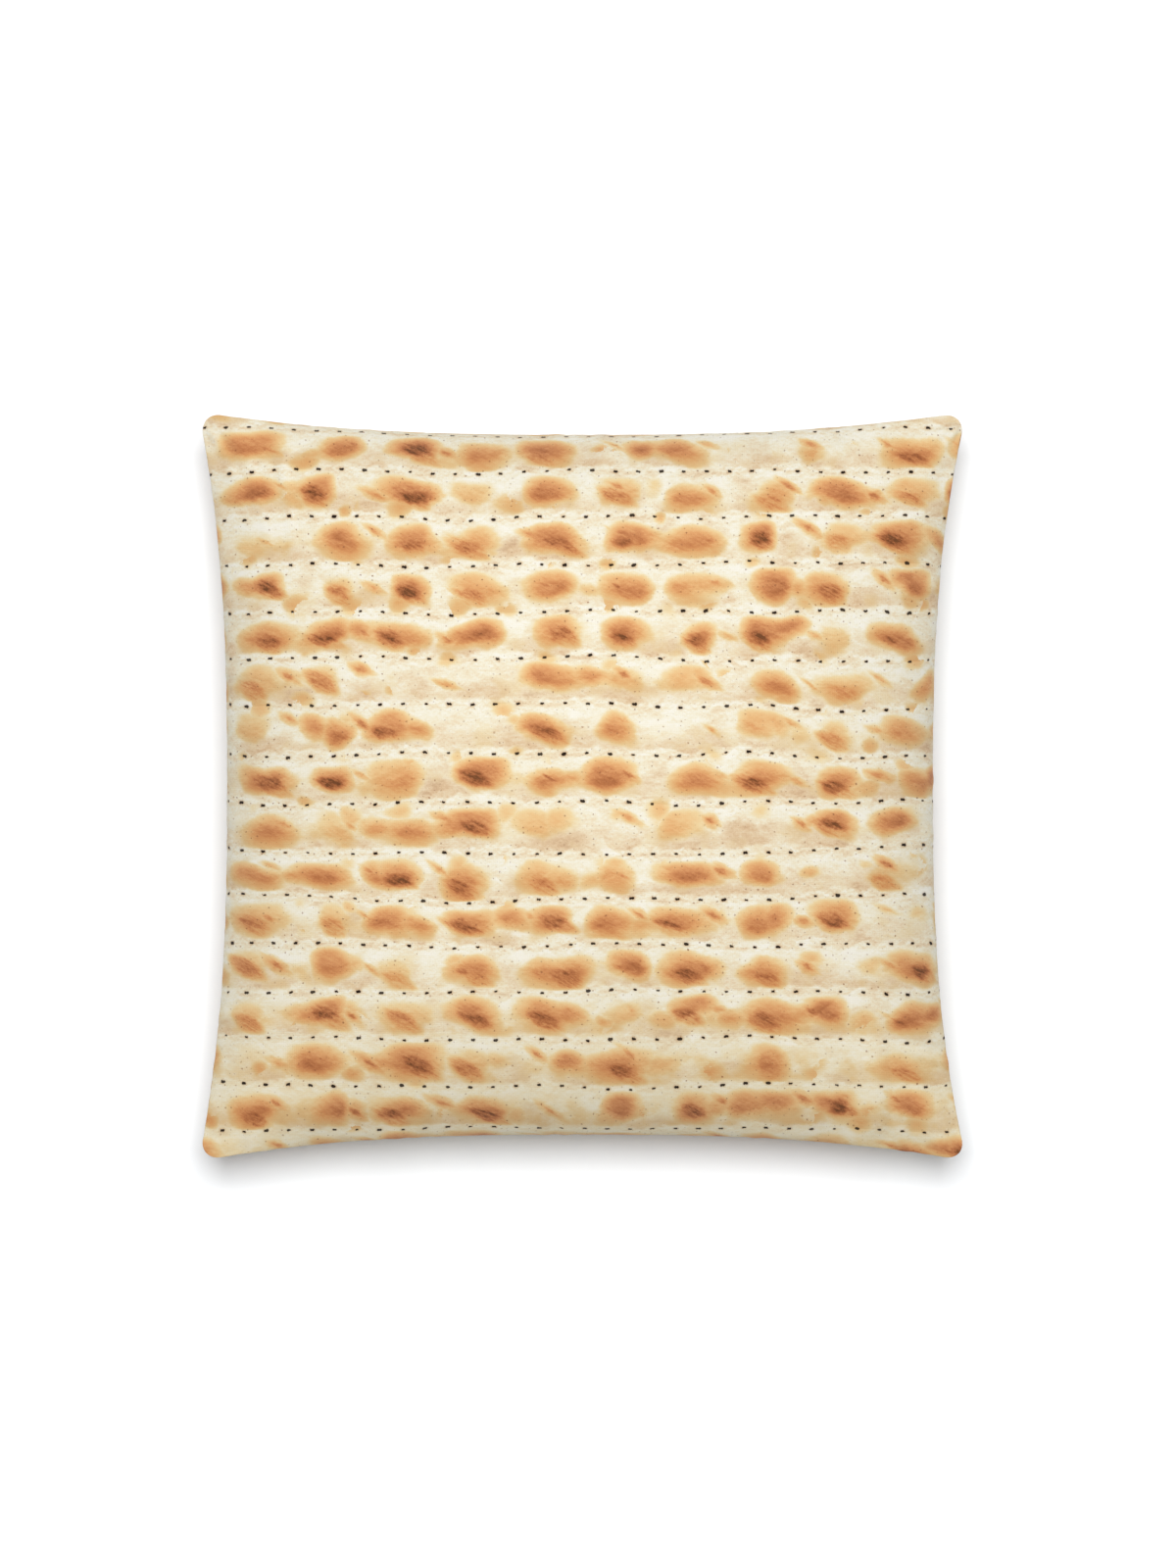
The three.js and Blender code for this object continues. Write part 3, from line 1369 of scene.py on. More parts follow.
@dataclass(frozen=True)
class StudioFloor(Finish):
    """The floor's finish: smooth matt board in a slightly cool white."""

    NAME: ClassVar[str] = "studio_floor"
    FIXED: ClassVar[Mapping[str, float]] = {"Roughness": 1.0, "Specular IOR Level": 0.0}

    white: Colour = (0.925, 0.948, 0.972)

    def dress(self, on: Drawing, shader: bpy.types.Node) -> None:
        """Whitens the board."""
        on.feed(shader.inputs["Base Color"], self.white)


# ---------------------------------------------------------------------------
# The cushion's form
# ---------------------------------------------------------------------------


class Side(Enum):
    """One of the cover's two panels, by the way it faces."""

    FRONT = 1.0
    BACK = -1.0

    def seed(self, first: int) -> int:
        """Gives the panel random draws of its own."""
        return first + (5 if self is Side.BACK else 0)


@dataclass(frozen=True)
class CushionForm:
    """A filled square cover: domed on both sides, and drawn in between its corners.

    A place on it is two shares, s across and t up, each from -1 at one seam to 1 at the
    other.
    """

    half_width: float = 0.2276
    half_height: float = 0.2220
    corner_round: float = 0.06  # share of a half side over which a corner is rounded
    drawn_in_across: Span = (0.0174, 0.0204)  # the left side and the right, at their middles
    drawn_in_up: Span = (0.0162, 0.0140)  # the bottom side and the top
    drawn_in_power: float = 2.7
    front_dome: float = 0.0720
    back_dome: float = 0.0740
    dome_power: float = 0.44
    seam_lift: float = 0.02  # keeps the dome's slope short of upright at the seam
    seam_height: float = 0.062
    seam_half: float = 0.0013  # half of the two layers of cloth and their folded allowance
    corner_droop: float = 0.006
    corner_droop_power: int = 4  # the more, the closer to the corners it stays
    rest_blend: float = 0.003  # height over which the back rounds off into its resting spot
    crowding: float = 0.8  # 0 spaces a panel's points evenly, 1 crowds them to the seam

    def shares(self, cells: int) -> Tuple[Grid, Grid]:
        """Spreads a panel's points over its width and height.

        Args:
            cells: How many mesh cells go along one side.

        Returns:
            Two square grids, s and t.
        """
        even = np.linspace(-1.0, 1.0, cells + 1)
        crowded = even + (np.sin(even * np.pi / 2.0) - even) * self.crowding
        s, t = np.meshgrid(crowded, crowded, indexing="ij")
        return s, t

    def rounded(self, s: Grid, t: Grid) -> Tuple[Grid, Grid]:
        """Turns each sharp corner of the square into a quarter circle."""
        inner = 1.0 - self.corner_round
        u = np.maximum(np.abs(s) - inner, 0.0) / self.corner_round
        v = np.maximum(np.abs(t) - inner, 0.0) / self.corner_round
        round_u = u * np.sqrt(1.0 - v * v / 2.0) * self.corner_round
        round_v = v * np.sqrt(1.0 - u * u / 2.0) * self.corner_round
        return (
            np.sign(s) * (np.minimum(np.abs(s), inner) + round_u),
            np.sign(t) * (np.minimum(np.abs(t), inner) + round_v),
        )

    def share(self, s: Grid, t: Grid) -> Grid:
        """Gives the share of the dome's full height: 0 all along the seam, 1 in the middle."""
        inward = np.maximum((1.0 - s * s) * (1.0 - t * t), 0.0)
        foot = self.seam_lift**self.dome_power
        full = (1.0 + self.seam_lift) ** self.dome_power
        return ((inward + self.seam_lift) ** self.dome_power - foot) / (full - foot)

    def drawn_in(self, ends: Span, across: Grid, along: Grid) -> Grid:
        """Works out how far the seam pulls points in, between two opposite sides."""
        most = ends[0] + (ends[1] - ends[0]) * (across + 1.0) / 2.0
        return most * (1.0 - np.abs(along) ** self.drawn_in_power)

    def surface(self, side: Side, s: Grid, t: Grid) -> Grid:
        """Places a panel's points.

        Args:
            side: Which panel.
            s: Their shares of the width.
            t: Their shares of the height.

        Returns:
            The same grid, with X, Y and Z along its last axis.
        """
        dome = self.front_dome if side is Side.FRONT else self.back_dome
        rise = side.value * (self.seam_half + dome * self.share(s, t))
        s, t = self.rounded(s, t)
        x = s * (self.half_width - self.drawn_in(self.drawn_in_across, s, t))
        y = t * (self.half_height - self.drawn_in(self.drawn_in_up, t, s))
        droop = self.corner_droop * (s * t) ** self.corner_droop_power
        z = self.seam_height - droop + rise
        return np.stack([x, y, self.rested(z) if side is Side.BACK else z], axis=-1)

    def rested(self, z: Grid) -> Grid:
        """Flattens what would lie under the floor, with a soft bend at its rim."""
        near = np.maximum(self.rest_blend - np.abs(z), 0.0) / self.rest_blend
        return np.maximum(z, 0.0) + near * near * self.rest_blend / 4.0

    def from_sides(self, s: Grid, t: Grid) -> Tuple[Tuple[Grid, Grid], ...]:
        """Measures places from each of the four sides.

        Args:
            s: Their shares of the width.
            t: Their shares of the height.

        Returns:
            For the right, left, top and bottom side: metres in from it, and along it.
        """
        wide, tall = self.half_width, self.half_height
        return (
            ((1.0 - s) * wide, t * tall),
            ((1.0 + s) * wide, t * tall),
            ((1.0 - t) * tall, s * wide),
            ((1.0 + t) * tall, s * wide),
        )


@dataclass(frozen=True)
class Waves:
    """A smooth random profile, made from waves whose lengths have no common measure."""

    seed: int
    lengths: Span  # of the shortest wave and the longest
    count: int = 7
    loop: float = 0.0  # the length that the profile closes over, or 0 where it is open

    def at(self, along: Grid) -> Grid:
        """Gives the profile's height, about -1 to 1, at lengths along it in metres."""
        random = np.random.default_rng(self.seed)
        total = np.zeros_like(along)
        for _ in range(self.count):
            length = random.uniform(*self.lengths)
            if self.loop > 0.0:
                length = self.loop / max(round(self.loop / length), 1)
            start = random.uniform(0.0, 2.0 * np.pi)
            total += np.cos(2.0 * np.pi * along / length + start)
        return total / math.sqrt(self.count)

    def shares(self, along: Grid, sharp: float) -> Grid:
        """Gives the profile as shares, which lie nearer to 0 and 1 the sharper it is."""
        return 0.5 + 0.5 * np.tanh(sharp * self.at(along))


def fading(inward: Grid, reach: Union[float, Grid]) -> Grid:
    """Falls from 1 at the seam towards 0, with a soft shoulder at the reach."""
    return np.exp(-((inward / reach) ** 2))


@dataclass(frozen=True)
class SeamGathers:
    """Small gathers that run in from the seam, where it holds the cloth shorter.

    Most lie in loose bunches. Here and there a longer and softer fold runs in between them.
    """

    depth: float = 0.00048
    lengths: Span = (0.008, 0.024)
    reach: Span = (0.007, 0.026)  # how far in they run, outside the bunches and in them
    bunches: Span = (0.045, 0.13)
    bunched: float = 1.6
    at_seam: float = 0.45  # share of their depth that is left at the seam itself
    held: float = 0.003  # how far in the seam holds them down
    lean: float = 0.3
    leans: Span = (0.06, 0.2)
    soft_depth: float = 0.0011
    soft_lengths: Span = (0.026, 0.075)
    soft_reach: Span = (0.018, 0.055)
    soft_bunches: Span = (0.09, 0.21)
    soft_bunched: float = 2.0
    soft_start: float = 0.010
    seed: int = 61

    def heights(self, side: Side, form: CushionForm, s: Grid, t: Grid) -> Grid:
        """Works out how far each point of a panel stands out.

        Args:
            side: Which panel.
            form: The cushion.
            s: The points' shares of the width.
            t: Their shares of the height.

        Returns:
            Metres along the panel's outward normal.
        """
        total = np.zeros_like(s)
        for number, (inward, along) in enumerate(form.from_sides(s, t)):
            seed = side.seed(self.seed + 10 * number)
            tight = Waves(seed + 1, self.bunches).shares(along, self.bunched)
            held = 1.0 - (1.0 - self.at_seam) * fading(inward, self.held)
            lean = self.lean * Waves(seed + 2, self.leans).at(along)
            fine = Waves(seed, self.lengths).at(along + lean * inward)
            reach = self.reach[0] + (self.reach[1] - self.reach[0]) * tight
            total += fine * fading(inward, reach) * held * self.depth * tight
            loose = Waves(seed + 3, self.soft_bunches).shares(along, self.soft_bunched)
            soft = Waves(seed + 4, self.soft_lengths).at(along - lean * inward)
            reach = self.soft_reach[0] + (self.soft_reach[1] - self.soft_reach[0]) * loose
            start = 1.0 - fading(inward, self.soft_start)
            fold = np.maximum(soft, 0.0) * fading(inward, reach) * start
            total += fold * self.soft_depth * loose
        return total


@dataclass(frozen=True)
class CornerPuckers:
    """Creases that fan out of each corner, where four layers of cloth are turned in."""

    depth: float = 0.0008
    waves: int = 6  # how many creases fit between the two seams
    sizes: Span = (0.3, 1.0)  # of one wave against another
    start: float = 0.012  # how far from the corner they are clear
    reach: float = 0.050
    seed: int = 131

    def heights(self, side: Side, form: CushionForm, s: Grid, t: Grid) -> Grid:
        """Works out how far each point of a panel stands out, in metres along its normal."""
        total = np.zeros_like(s)
        random = np.random.default_rng(side.seed(self.seed))
        for across, up in ((1.0, 1.0), (-1.0, 1.0), (-1.0, -1.0), (1.0, -1.0)):
            in_x = (1.0 - across * s) * form.half_width
            in_y = (1.0 - up * t) * form.half_height
            away = np.hypot(in_x, in_y)
            turn = np.arctan2(in_y, in_x) / (np.pi / 2.0)
            fan = np.zeros_like(s)
            for wave in range(1, self.waves + 1):
                size, start = random.uniform(*self.sizes), random.uniform(0.0, 2.0 * np.pi)
                fan += size * np.cos(np.pi * wave * turn + start)
            inside = np.sin(np.pi * np.clip(turn, 0.0, 1.0))
            clear = 1.0 - fading(away, self.start)
            total += fan * inside * clear * fading(away, self.reach)
        return total / math.sqrt(self.waves) * self.depth


@dataclass(frozen=True)
class FillingLumps:
    """Broad shallow unevenness where the filling has bunched up."""

    depth: float = 0.0011
    lengths: Span = (0.09, 0.24)
    waves: int = 9
    seed: int = 83

    def heights(self, side: Side, form: CushionForm, s: Grid, t: Grid) -> Grid:
        """Works out how far each point of a panel stands out, in metres along its normal."""
        total = np.zeros_like(s)
        random = np.random.default_rng(side.seed(self.seed))
        for _ in range(self.waves):
            turn = random.uniform(0.0, np.pi)
            length = random.uniform(*self.lengths)
            start = random.uniform(0.0, 2.0 * np.pi)
            along = s * form.half_width * np.cos(turn) + t * form.half_height * np.sin(turn)
            total += np.cos(2.0 * np.pi * along / length + start)
        return total / math.sqrt(self.waves) * self.depth * form.share(s, t)


def grid_normals(points: Grid) -> Grid:
    """Gives the unit normals of a square grid of points, on the side where Z rises."""
    normals = np.cross(np.gradient(points, axis=0), np.gradient(points, axis=1))
    return normals / np.maximum(np.linalg.norm(normals, axis=-1, keepdims=True), 1e-12)


def grid_faces(grid: Grid) -> Grid:
    """Lists the four corners of each cell of a square grid of point numbers."""
    corners = [grid[:-1, :-1], grid[1:, :-1], grid[1:, 1:], grid[:-1, 1:]]
    return np.stack(corners, axis=-1).reshape(-1, 4)


def rim_of(size: int) -> Tuple[Grid, Grid]:
    """Walks round the rim of a square grid, anticlockwise seen from +Z.

    Args:
        size: How many points the grid has along one side.

    Returns:
        The rim points' rows and their columns, in order.
    """
    last = size - 1
    run = np.arange(last)
    first, final = np.zeros(last, dtype=int), np.full(last, last)
    rows = np.concatenate([run, final, last - run, first])
    columns = np.concatenate([first, run, final, last - run])
    return rows, columns


def ways_out(rim: Grid) -> Grid:
    """Gives the level unit way out of a closed row of points, at each of them."""
    along = np.roll(rim, -1, axis=0) - np.roll(rim, 1, axis=0)
    out = np.stack([along[:, 1], -along[:, 0], np.zeros(len(rim))], axis=1)
    return out / np.linalg.norm(out, axis=1, keepdims=True)


def finer(coarse: Grid, cells: int) -> Grid:
    """Reads a square grid of vectors at the points of a finer one, along smooth curves.

    Args:
        coarse: The grid, with the vectors along its last axis.
        cells: How many cells the finer grid has along one side.

    Returns:
        The finer grid.
    """
    last = coarse.shape[0] - 1
    at = np.linspace(0.0, last, cells + 1)
    first = np.minimum(at.astype(int), last - 1)
    part = at - first
    weights = np.zeros((cells + 1, last + 1))
    curve = (
        (-1, ((2.0 - part) * part - 1.0) * part / 2.0),
        (0, ((3.0 * part - 5.0) * part * part + 2.0) / 2.0),
        (1, ((4.0 - 3.0 * part) * part + 1.0) * part / 2.0),
        (2, (part - 1.0) * part * part / 2.0),
    )
    for step, weight in curve:
        column = np.clip(first + step, 0, last)
        np.add.at(weights, (np.arange(cells + 1), column), weight)
    return np.einsum("ai,bj,ijk->abk", weights, weights, coarse, optimize=True)


@dataclass
class SewnCover:
    """Both panels as one mesh, sewn to each other along the seam."""

    start: Grid  # its points on the cushion's form
    cut: Grid  # the same points as the cloth was cut, flat
    faces: List[Tuple[int, ...]]
    panels: Dict[Side, Grid]  # each panel's points, by number
    seam: List[int]  # the points that the seam holds


@dataclass(frozen=True)
class FillingRun:
    """Lets the flat-cut cloth settle over its filling, by a short cloth simulation.

    The two panels start on the cushion's form, sewn along a seam that is held still. Their
    cloth remembers that it was cut flat, so it draws tight where the form needs more of it
    and puckers where there is too much.
    """

    cells: int = 64
    frames: int = 24
    pressure: float = 4.0
    flat_width: float = 0.459  # what each panel was cut to, without its seam allowance
    flat_height: float = 0.448
    most: float = 0.0045  # the furthest that any point may move
    mass: float = 0.2
    stretch: float = 12.0
    shear: float = 4.0
    bend: float = 0.35
    damping: float = 5.0
    bend_damping: float = 0.5
    air_damping: float = 2.0
    quality: int = 6

    def sewn(self, form: CushionForm) -> SewnCover:
        """Sews the two panels together on the cushion's form."""
        s, t = form.shares(self.cells)
        size = self.cells + 1
        rim = np.zeros((size, size), dtype=bool)
        rim[rim_of(size)] = True
        front = form.surface(Side.FRONT, s, t)
        back = form.surface(Side.BACK, s, t)
        both = (front + back) / 2.0
        front[rim] = back[rim] = both[rim]
        panels = {Side.FRONT: np.arange(size * size).reshape(size, size)}
        panels[Side.BACK] = panels[Side.FRONT].copy()
        panels[Side.BACK][~rim] = size * size + np.arange(int((~rim).sum()))

        # The cut is marked out in step with the arc across the middle of the front.
        steps = np.linalg.norm(np.diff(front[:, size // 2, :], axis=0), axis=1)
        reach = np.concatenate([[0.0], np.cumsum(steps)])
        marked = reach / reach[-1] * 2.0 - 1.0
        flat_s, flat_t = np.meshgrid(marked, marked, indexing="ij")
        flat = [flat_s * self.flat_width / 2, flat_t * self.flat_height / 2, np.zeros_like(flat_s)]
        cut = np.stack(flat, axis=-1)

        faces = np.concatenate(
            [grid_faces(panels[Side.FRONT]), grid_faces(panels[Side.BACK])[:, ::-1]]
        )
        return SewnCover(
            start=np.concatenate([front.reshape(-1, 3), back[~rim]]),
            cut=np.concatenate([cut.reshape(-1, 3), cut[~rim]]),
            faces=[tuple(face) for face in faces.tolist()],
            panels=panels,
            seam=panels[Side.FRONT][rim].tolist(),
        )

    def settled(self, cover: SewnCover) -> Grid:
        """Runs the simulation.

        Args:
            cover: The sewn panels.

        Returns:
            Where each of the cover's points ends up.
        """
        mesh = bpy.data.meshes.new("cloth_run")
        mesh.from_pydata(cover.start.tolist(), [], cover.faces)
        cloth = bpy.data.objects.new("cloth_run", mesh)
        scene = bpy.context.scene
        scene.collection.objects.link(cloth)
        cloth.shape_key_add(name="Basis")
        key = cloth.shape_key_add(name="Cut")
        key.data.foreach_set("co", cover.cut.ravel())
        key.value = 0.0
        held = cloth.vertex_groups.new(name="seam")
        held.add(cover.seam, 1.0, "REPLACE")

        run = cloth.modifiers.new("Cloth", "CLOTH")
        settings = {
            "quality": self.quality,
            "mass": self.mass,
            "tension_stiffness": self.stretch,
            "compression_stiffness": self.stretch,
            "shear_stiffness": self.shear,
            "bending_stiffness": self.bend,
            "tension_damping": self.damping,
            "compression_damping": self.damping,
            "shear_damping": self.damping,
            "bending_damping": self.bend_damping,
            "air_damping": self.air_damping,
            "use_pressure": True,
            "uniform_pressure_force": self.pressure,
            "vertex_group_mass": held.name,
            "rest_shape_key": key,
        }
        for name, value in settings.items():
            setattr(run.settings, name, value)
        run.settings.effector_weights.gravity = 0.0
        run.collision_settings.use_collision = False
        run.point_cache.frame_end = self.frames
        scene.frame_end = max(scene.frame_end, self.frames)
        for number in range(1, self.frames + 1):
            scene.frame_set(number)
        shown = cloth.evaluated_get(bpy.context.evaluated_depsgraph_get())
        settled = np.empty(cover.start.size)
        shown.data.vertices.foreach_get("co", settled)
        scene.frame_set(1)
        bpy.data.objects.remove(cloth)
        bpy.data.meshes.remove(mesh)
        return settled.reshape(-1, 3)

    def moves(self, form: CushionForm) -> Dict[Side, Grid]:
        """Works out how far the cloth settles.

        Args:
            form: The cushion.

        Returns:
            For each panel, how far each of its points has moved, as a square grid of vectors.
        """
        cover = self.sewn(form)
        moved = self.settled(cover) - cover.start
        length = np.linalg.norm(moved, axis=1, keepdims=True)
        log.info("cloth run: points moved %.1f mm at most", float(length.max()) / MM)
        capped = moved * np.tanh(length / self.most) * self.most / np.maximum(length, 1e-9)
        return {side: capped[cover.panels[side]] for side in Side}


# ---------------------------------------------------------------------------
# Pieces
# ---------------------------------------------------------------------------


def new_object(
    name: str,
    points: Grid,
    faces: Sequence[Sequence[int]],
    material: bpy.types.Material,
    maps: Union[Mapping[str, Grid], None] = None,
) -> bpy.types.Object:
    """Makes a smooth-shaded mesh object and puts it in the scene.

    Args:
        name: The object's name.
        points: Its points, one to a row.
        faces: Each face's points, by number.
        material: Its finish.
        maps: UV maps by name, each with one place to a point.

    Returns:
        The object.
    """
    mesh = bpy.data.meshes.new(name)
    mesh.from_pydata(points.tolist(), [], faces)
    mesh.polygons.foreach_set("use_smooth", [True] * len(mesh.polygons))
    corners = np.empty(len(mesh.loops), dtype=np.int32)
    mesh.loops.foreach_get("vertex_index", corners)
    for title, spots in (maps or {}).items():
        layer = mesh.uv_layers.new(name=title)
        layer.data.foreach_set("uv", spots[corners].astype(np.float32).ravel())
    mesh.materials.append(material)
    mesh.update()
    made = bpy.data.objects.new(name, mesh)
    bpy.context.scene.collection.objects.link(made)
    return made


@dataclass(frozen=True)
class SeamRoll:
    """How each panel's edge rolls over into the seam, as steps outward and towards it."""

    outward: Tuple[float, ...] = (0.00012, -0.00010, -0.00060, -0.00135)
    towards: Tuple[float, ...] = (0.30, 0.62, 0.88, 1.0)  # shares of the way to the seam


@dataclass
class CoverPanel:
    """One of the cover's two panels of printed cloth."""

    name: str
    side: Side
    form: CushionForm
    moves: Grid
    cells: int = 288
    roll: SeamRoll = field(default_factory=SeamRoll)
    gathers: SeamGathers = field(default_factory=SeamGathers)
    puckers: CornerPuckers = field(default_factory=CornerPuckers)
    lumps: FillingLumps = field(default_factory=FillingLumps)
    seam_waver: Waves = field(default_factory=lambda: Waves(97, (0.12, 0.34), loop=2.0 * np.pi))
    seam_waver_depth: float = 0.0012
    seam_waver_power: int = 4  # the more, the closer to the seam it stays
    seam_hold: float = 0.006  # how far in from the seam the cloth is held to the form
    rim_ease: float = 0.014  # how far in from the seam the print follows the steep cloth
    bake_margin: float = 0.012
    bake_spread: float = 0.4  # how far each step of the rolled edge lies past it, in margins
    back_shift: Span = (0.871, 0.513)  # the back is cut from further along
    thickness_kept: float = 0.015  # points under this height keep to the resting spot

    def points(self) -> Grid:
        """Places the panel's cloth, without its rolled edge.

        Returns:
            A square grid of points.
        """
        s, t = self.form.shares(self.cells)
        base = self.form.surface(self.side, s, t)
        normals = grid_normals(base) * self.side.value
        share = self.form.share(s, t)[..., None]
        free = np.clip(base[..., 2:] / self.thickness_kept, 0.0, 1.0)
        free = free * free * (3.0 - 2.0 * free)
        stands = sum(
            part.heights(self.side, self.form, s, t)
            for part in (self.gathers, self.puckers, self.lumps)
        )
        inward = np.minimum.reduce([inward for inward, _ in self.form.from_sides(s, t)])
        loose = 1.0 - fading(inward, self.seam_hold)
        moved = finer(self.moves, self.cells) * loose[..., None] + normals * stands[..., None]
        placed = base + moved * free
        turn = np.arctan2(base[..., 1], base[..., 0])  # a full turn closes the profile's loop
        waver = self.seam_waver.at(turn)[..., None] * self.seam_waver_depth
        near = (1.0 - share) ** self.seam_waver_power
        placed += near * waver * np.array([0.0, 0.0, 1.0])
        return placed

    def print_places(self, points: Grid) -> Grid:
        """Lays the print on the cloth: flat over the dome, and along the cloth near the seam.

        Args:
            points: The panel's grid of points.

        Returns:
            The same grid, with places on the print in metres.
        """
        s, t = self.form.shares(self.cells)
        middle = self.cells // 2
        spots = points[..., :2].copy()
        sizes = (self.form.half_width, self.form.half_height)
        for axis, (shares, half) in enumerate(zip((s, t), sizes)):
            stepped = np.moveaxis(points, axis, 0)
            across = np.diff(stepped[..., axis], axis=0)
            rise = np.diff(stepped[..., 2], axis=0)
            inward = (1.0 - np.abs(np.moveaxis(shares, axis, 0))) * half
            near = 1.0 - np.clip((inward[1:] + inward[:-1]) / 2.0 / self.rim_ease, 0.0, 1.0)
            eased = near * near * (3.0 - 2.0 * near)
            extra = (np.hypot(across, rise) - np.abs(across)) * eased
            run = np.concatenate([np.zeros_like(extra[:1]), np.cumsum(extra, axis=0)])
            run -= run[middle]
            moved = np.moveaxis(spots, axis, 0)
            moved[..., axis] += run
        if self.side is Side.BACK:
            spots = spots * np.array([-1.0, 1.0]) + np.array(self.back_shift)
        return spots

    def build(self, material: bpy.types.Material) -> bpy.types.Object:
        points = self.points()
        size = self.cells + 1
        even = np.linspace(self.bake_margin, 1.0 - self.bake_margin, size)
        laid = {
            "OFBake": np.stack(np.meshgrid(even, even, indexing="ij"), axis=-1),
            "print": self.print_places(points),
        }
        rim = rim_of(size)
        edge = points[rim]
        outward = ways_out(edge)
        print_out = outward[:, :2] * np.array([self.side.value, 1.0])
        rings = [edge]
        maps = {title: [spots.reshape(-1, 2)] for title, spots in laid.items()}
        previous = np.arange(size * size).reshape(size, size)
        faces = [grid_faces(previous)]
        previous = previous[rim]
        run = 0.0
        for number, (out, share) in enumerate(zip(self.roll.outward, self.roll.towards), 1):
            ring = edge + outward * out
            ring[:, 2] -= self.side.value * self.form.seam_half * share
            run += float(np.linalg.norm(ring[0] - rings[-1][0]))
            rings.append(ring)
            spread = 1.0 + self.bake_margin * self.bake_spread * number
            maps["OFBake"].append((laid["OFBake"][rim] - 0.5) * spread + 0.5)
            maps["print"].append(laid["print"][rim] + print_out * run)
            here = np.arange(len(edge)) + size * size + (number - 1) * len(edge)
            corners = [previous, here, np.roll(here, -1), np.roll(previous, -1)]
            faces.append(np.stack(corners, axis=-1))
            previous = here
        every_face = np.concatenate(faces)
        if self.side is Side.BACK:
            every_face = every_face[:, ::-1]
        made = new_object(
            self.name,
            np.concatenate([points.reshape(-1, 3), *rings[1:]]),
            every_face.tolist(),
            material,
            {title: np.concatenate(parts) for title, parts in maps.items()},
        )
        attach(made, BODY)
        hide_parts(NODE)
        return made


@dataclass
class SeamStitches:
    """The thread that shows in the seam, as short slanted stitches from panel to panel."""

    front: CoverPanel
    pitch: float = 0.0034
    length: float = 0.0016  # along the seam
    rise: float = 0.0019  # from one panel to the other
    depth: float = 0.00075  # how far in from the rim the thread lies
    radius: float = 0.00024
    sides: int = 6
    sections: int = 5  # along one stitch
    taper: float = 0.96
    taper_power: float = 0.25
    bow: float = 0.00022  # how far a stitch bows outward
    tilt_spread: float = 0.25
    stray: float = 0.0002
    seed: int = 29
    name: str = "seam_stitches"

    def route(self) -> Tuple[Grid, Grid]:
        """Steps evenly round the seam.

        Returns:
            Each stitch's place on the rim, and the way out from the seam there.
        """
        edge = self.front.points()[rim_of(self.front.cells + 1)]
        edge[:, 2] -= self.front.form.seam_half
        closed = np.concatenate([edge, edge[:1]])
        run = np.concatenate([[0.0], np.cumsum(np.linalg.norm(np.diff(closed, axis=0), axis=1))])
        count = int(run[-1] / self.pitch)
        at = (np.arange(count) + 0.5) * run[-1] / count
        spots = np.stack([np.interp(at, run, closed[:, axis]) for axis in range(3)], axis=1)
        return spots, ways_out(spots)

    def build(self, material: bpy.types.Material) -> bpy.types.Object:
        """Builds every stitch as a short bowed length of thread, in one mesh."""
        up = np.array([0.0, 0.0, 1.0])
        random = np.random.default_rng(self.seed)
        shares = np.linspace(-1.0, 1.0, self.sections)
        swell = np.maximum(1.0 - (shares * self.taper) ** 2, 0.0) ** self.taper_power
        angles = np.arange(self.sides) * 2.0 * np.pi / self.sides
        points: List[Grid] = []
        faces: List[Tuple[int, ...]] = []
        for spot, out in zip(*self.route()):
            along = np.cross(up, out)
            slant = 1.0 + random.uniform(-self.tilt_spread, self.tilt_spread)
            way = along * self.length / 2 * slant + up * self.rise / 2
            middle = spot - out * self.depth + along * random.uniform(-1.0, 1.0) * self.stray
            aside = np.cross(way / np.linalg.norm(way), out)
            first = len(points) * self.sides
            for share, width in zip(shares, swell):
                centre = middle + way * share + out * self.bow * (1.0 - share * share)
                ring = np.outer(np.cos(angles), aside) + np.outer(np.sin(angles), out)
                points.append(centre + ring * self.radius * width)
            for step in range(self.sections - 1):
                low = first + step * self.sides
                high = low + self.sides
                for turn in range(self.sides):
                    beside = (turn + 1) % self.sides
                    faces.append((low + turn, low + beside, high + beside, high + turn))
            last = first + (self.sections - 1) * self.sides
            faces.append(tuple(range(first + self.sides - 1, first - 1, -1)))
            faces.append(tuple(range(last, last + self.sides)))
        made = new_object(self.name, np.concatenate(points), faces, material)
        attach(made, BODY)
        return made


@dataclass
class Cushion:
    """The whole cushion: two panels of printed cloth over filling, and the seam between."""

    form: CushionForm = field(default_factory=CushionForm)
    filling: FillingRun = field(default_factory=FillingRun)

    def build(self) -> List[bpy.types.Object]:
        """Builds and dresses every piece, in order."""
        moves = self.filling.moves(self.form)
        cloth = PrintedCloth().make()
        front = CoverPanel("front_panel", Side.FRONT, self.form, moves[Side.FRONT])
        back = CoverPanel("back_panel", Side.BACK, self.form, moves[Side.BACK])
        return [
            front.build(cloth),
            back.build(cloth),
            SeamStitches(front).build(SewingThread().make()),
        ]


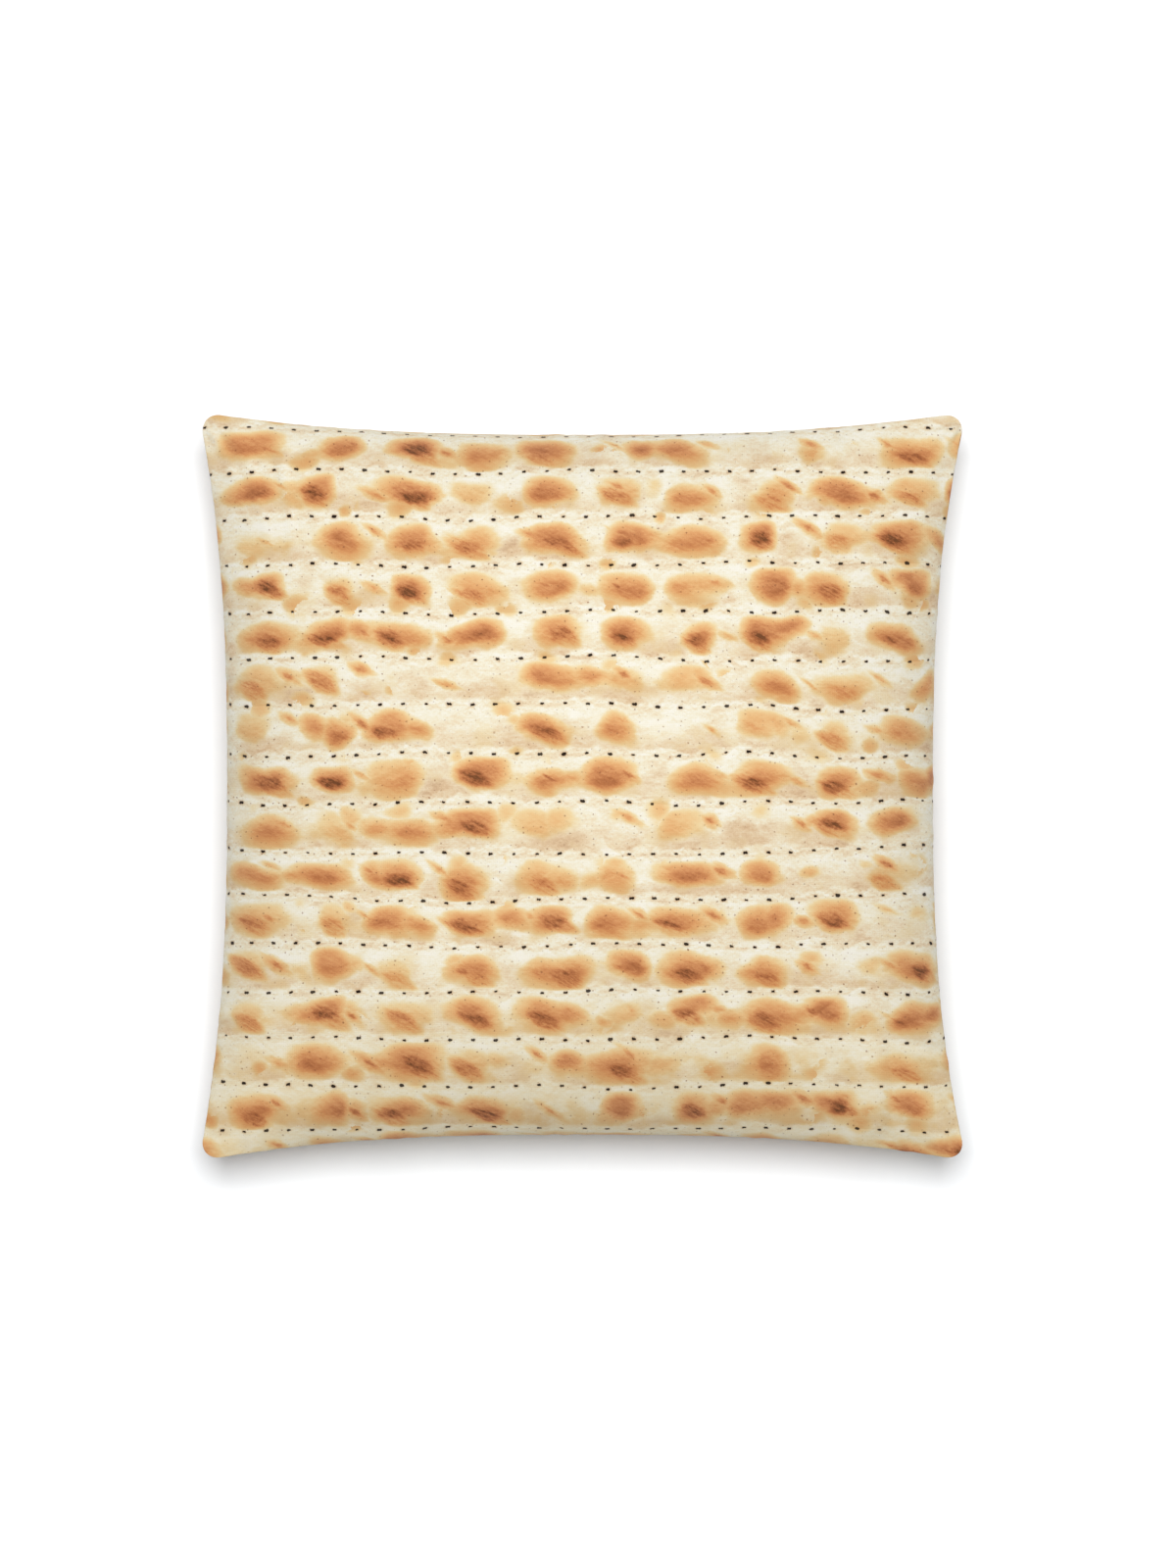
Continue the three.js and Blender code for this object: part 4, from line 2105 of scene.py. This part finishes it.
@dataclass(frozen=True)
class Studio:
    """A pale floor, plain soft light and a camera that looks straight down."""

    floor_size: float = 14.0
    fill: float = 0.3  # light from all round, as a share of white
    key: float = 66.2  # the overhead light's power, in watts
    key_size: float = 1.15
    key_distance: float = 2.4
    key_tilt: float = math.radians(10.5)  # from upright, towards the top of the print
    lens: float = 120.0
    sensor: float = 36.0
    far: float = 50.0  # the furthest that the camera sees
    view_height: float = 0.928  # what the camera sees from top to bottom, at the seam
    aside: Span = (0.0032, 0.0015)  # the camera's place off the middle

    def build(self, form: CushionForm) -> bpy.types.Object:
        """Builds the studio round the cushion.

        Args:
            form: The cushion, for the height of its seam.

        Returns:
            The floor.
        """
        scene = bpy.context.scene
        half = self.floor_size / 2.0
        corners = np.array(
            [[-half, -half, 0.0], [half, -half, 0.0], [half, half, 0.0], [-half, half, 0.0]]
        )
        floor = new_object("floor", corners, [(0, 1, 2, 3)], StudioFloor().make())

        world = bpy.data.worlds.new("studio")
        world.use_nodes = True
        sky = world.node_tree.nodes["Background"]
        sky.inputs["Color"].default_value = (1.0, 1.0, 1.0, 1.0)
        sky.inputs["Strength"].default_value = self.fill
        scene.world = world

        light = bpy.data.lights.new("overhead", "AREA")
        light.shape = "SQUARE"
        light.size = self.key_size
        light.energy = self.key
        lamp = bpy.data.objects.new("overhead", light)
        lamp.location = (
            0.0,
            self.key_distance * math.sin(self.key_tilt),
            form.seam_height + self.key_distance * math.cos(self.key_tilt),
        )
        lamp.rotation_euler = (-self.key_tilt, 0.0, 0.0)
        lamp.visible_camera = False
        scene.collection.objects.link(lamp)

        eye = bpy.data.cameras.new("camera")
        eye.lens = self.lens
        eye.sensor_width = self.sensor
        eye.clip_end = self.far
        camera = bpy.data.objects.new("camera", eye)
        camera.location = (
            *self.aside,
            form.seam_height + self.lens / self.sensor * self.view_height,
        )
        scene.collection.objects.link(camera)
        scene.camera = camera
        scene.view_settings.view_transform = "Standard"
        return floor


def main() -> None:
    """Builds the cushion and the studio round it, and reports each piece."""
    logging.basicConfig(level=logging.INFO, format="%(name)s: %(message)s")
    cushion = Cushion()
    pieces = cushion.build()
    pieces.append(Studio().build(cushion.form))
    for piece in pieces:
        size = ", ".join(f"{length / MM:.1f}" for length in piece.dimensions)
        log.info("%s: %d faces, %s mm", piece.name, len(piece.data.polygons), size)


if __name__ == "__main__":
    main()
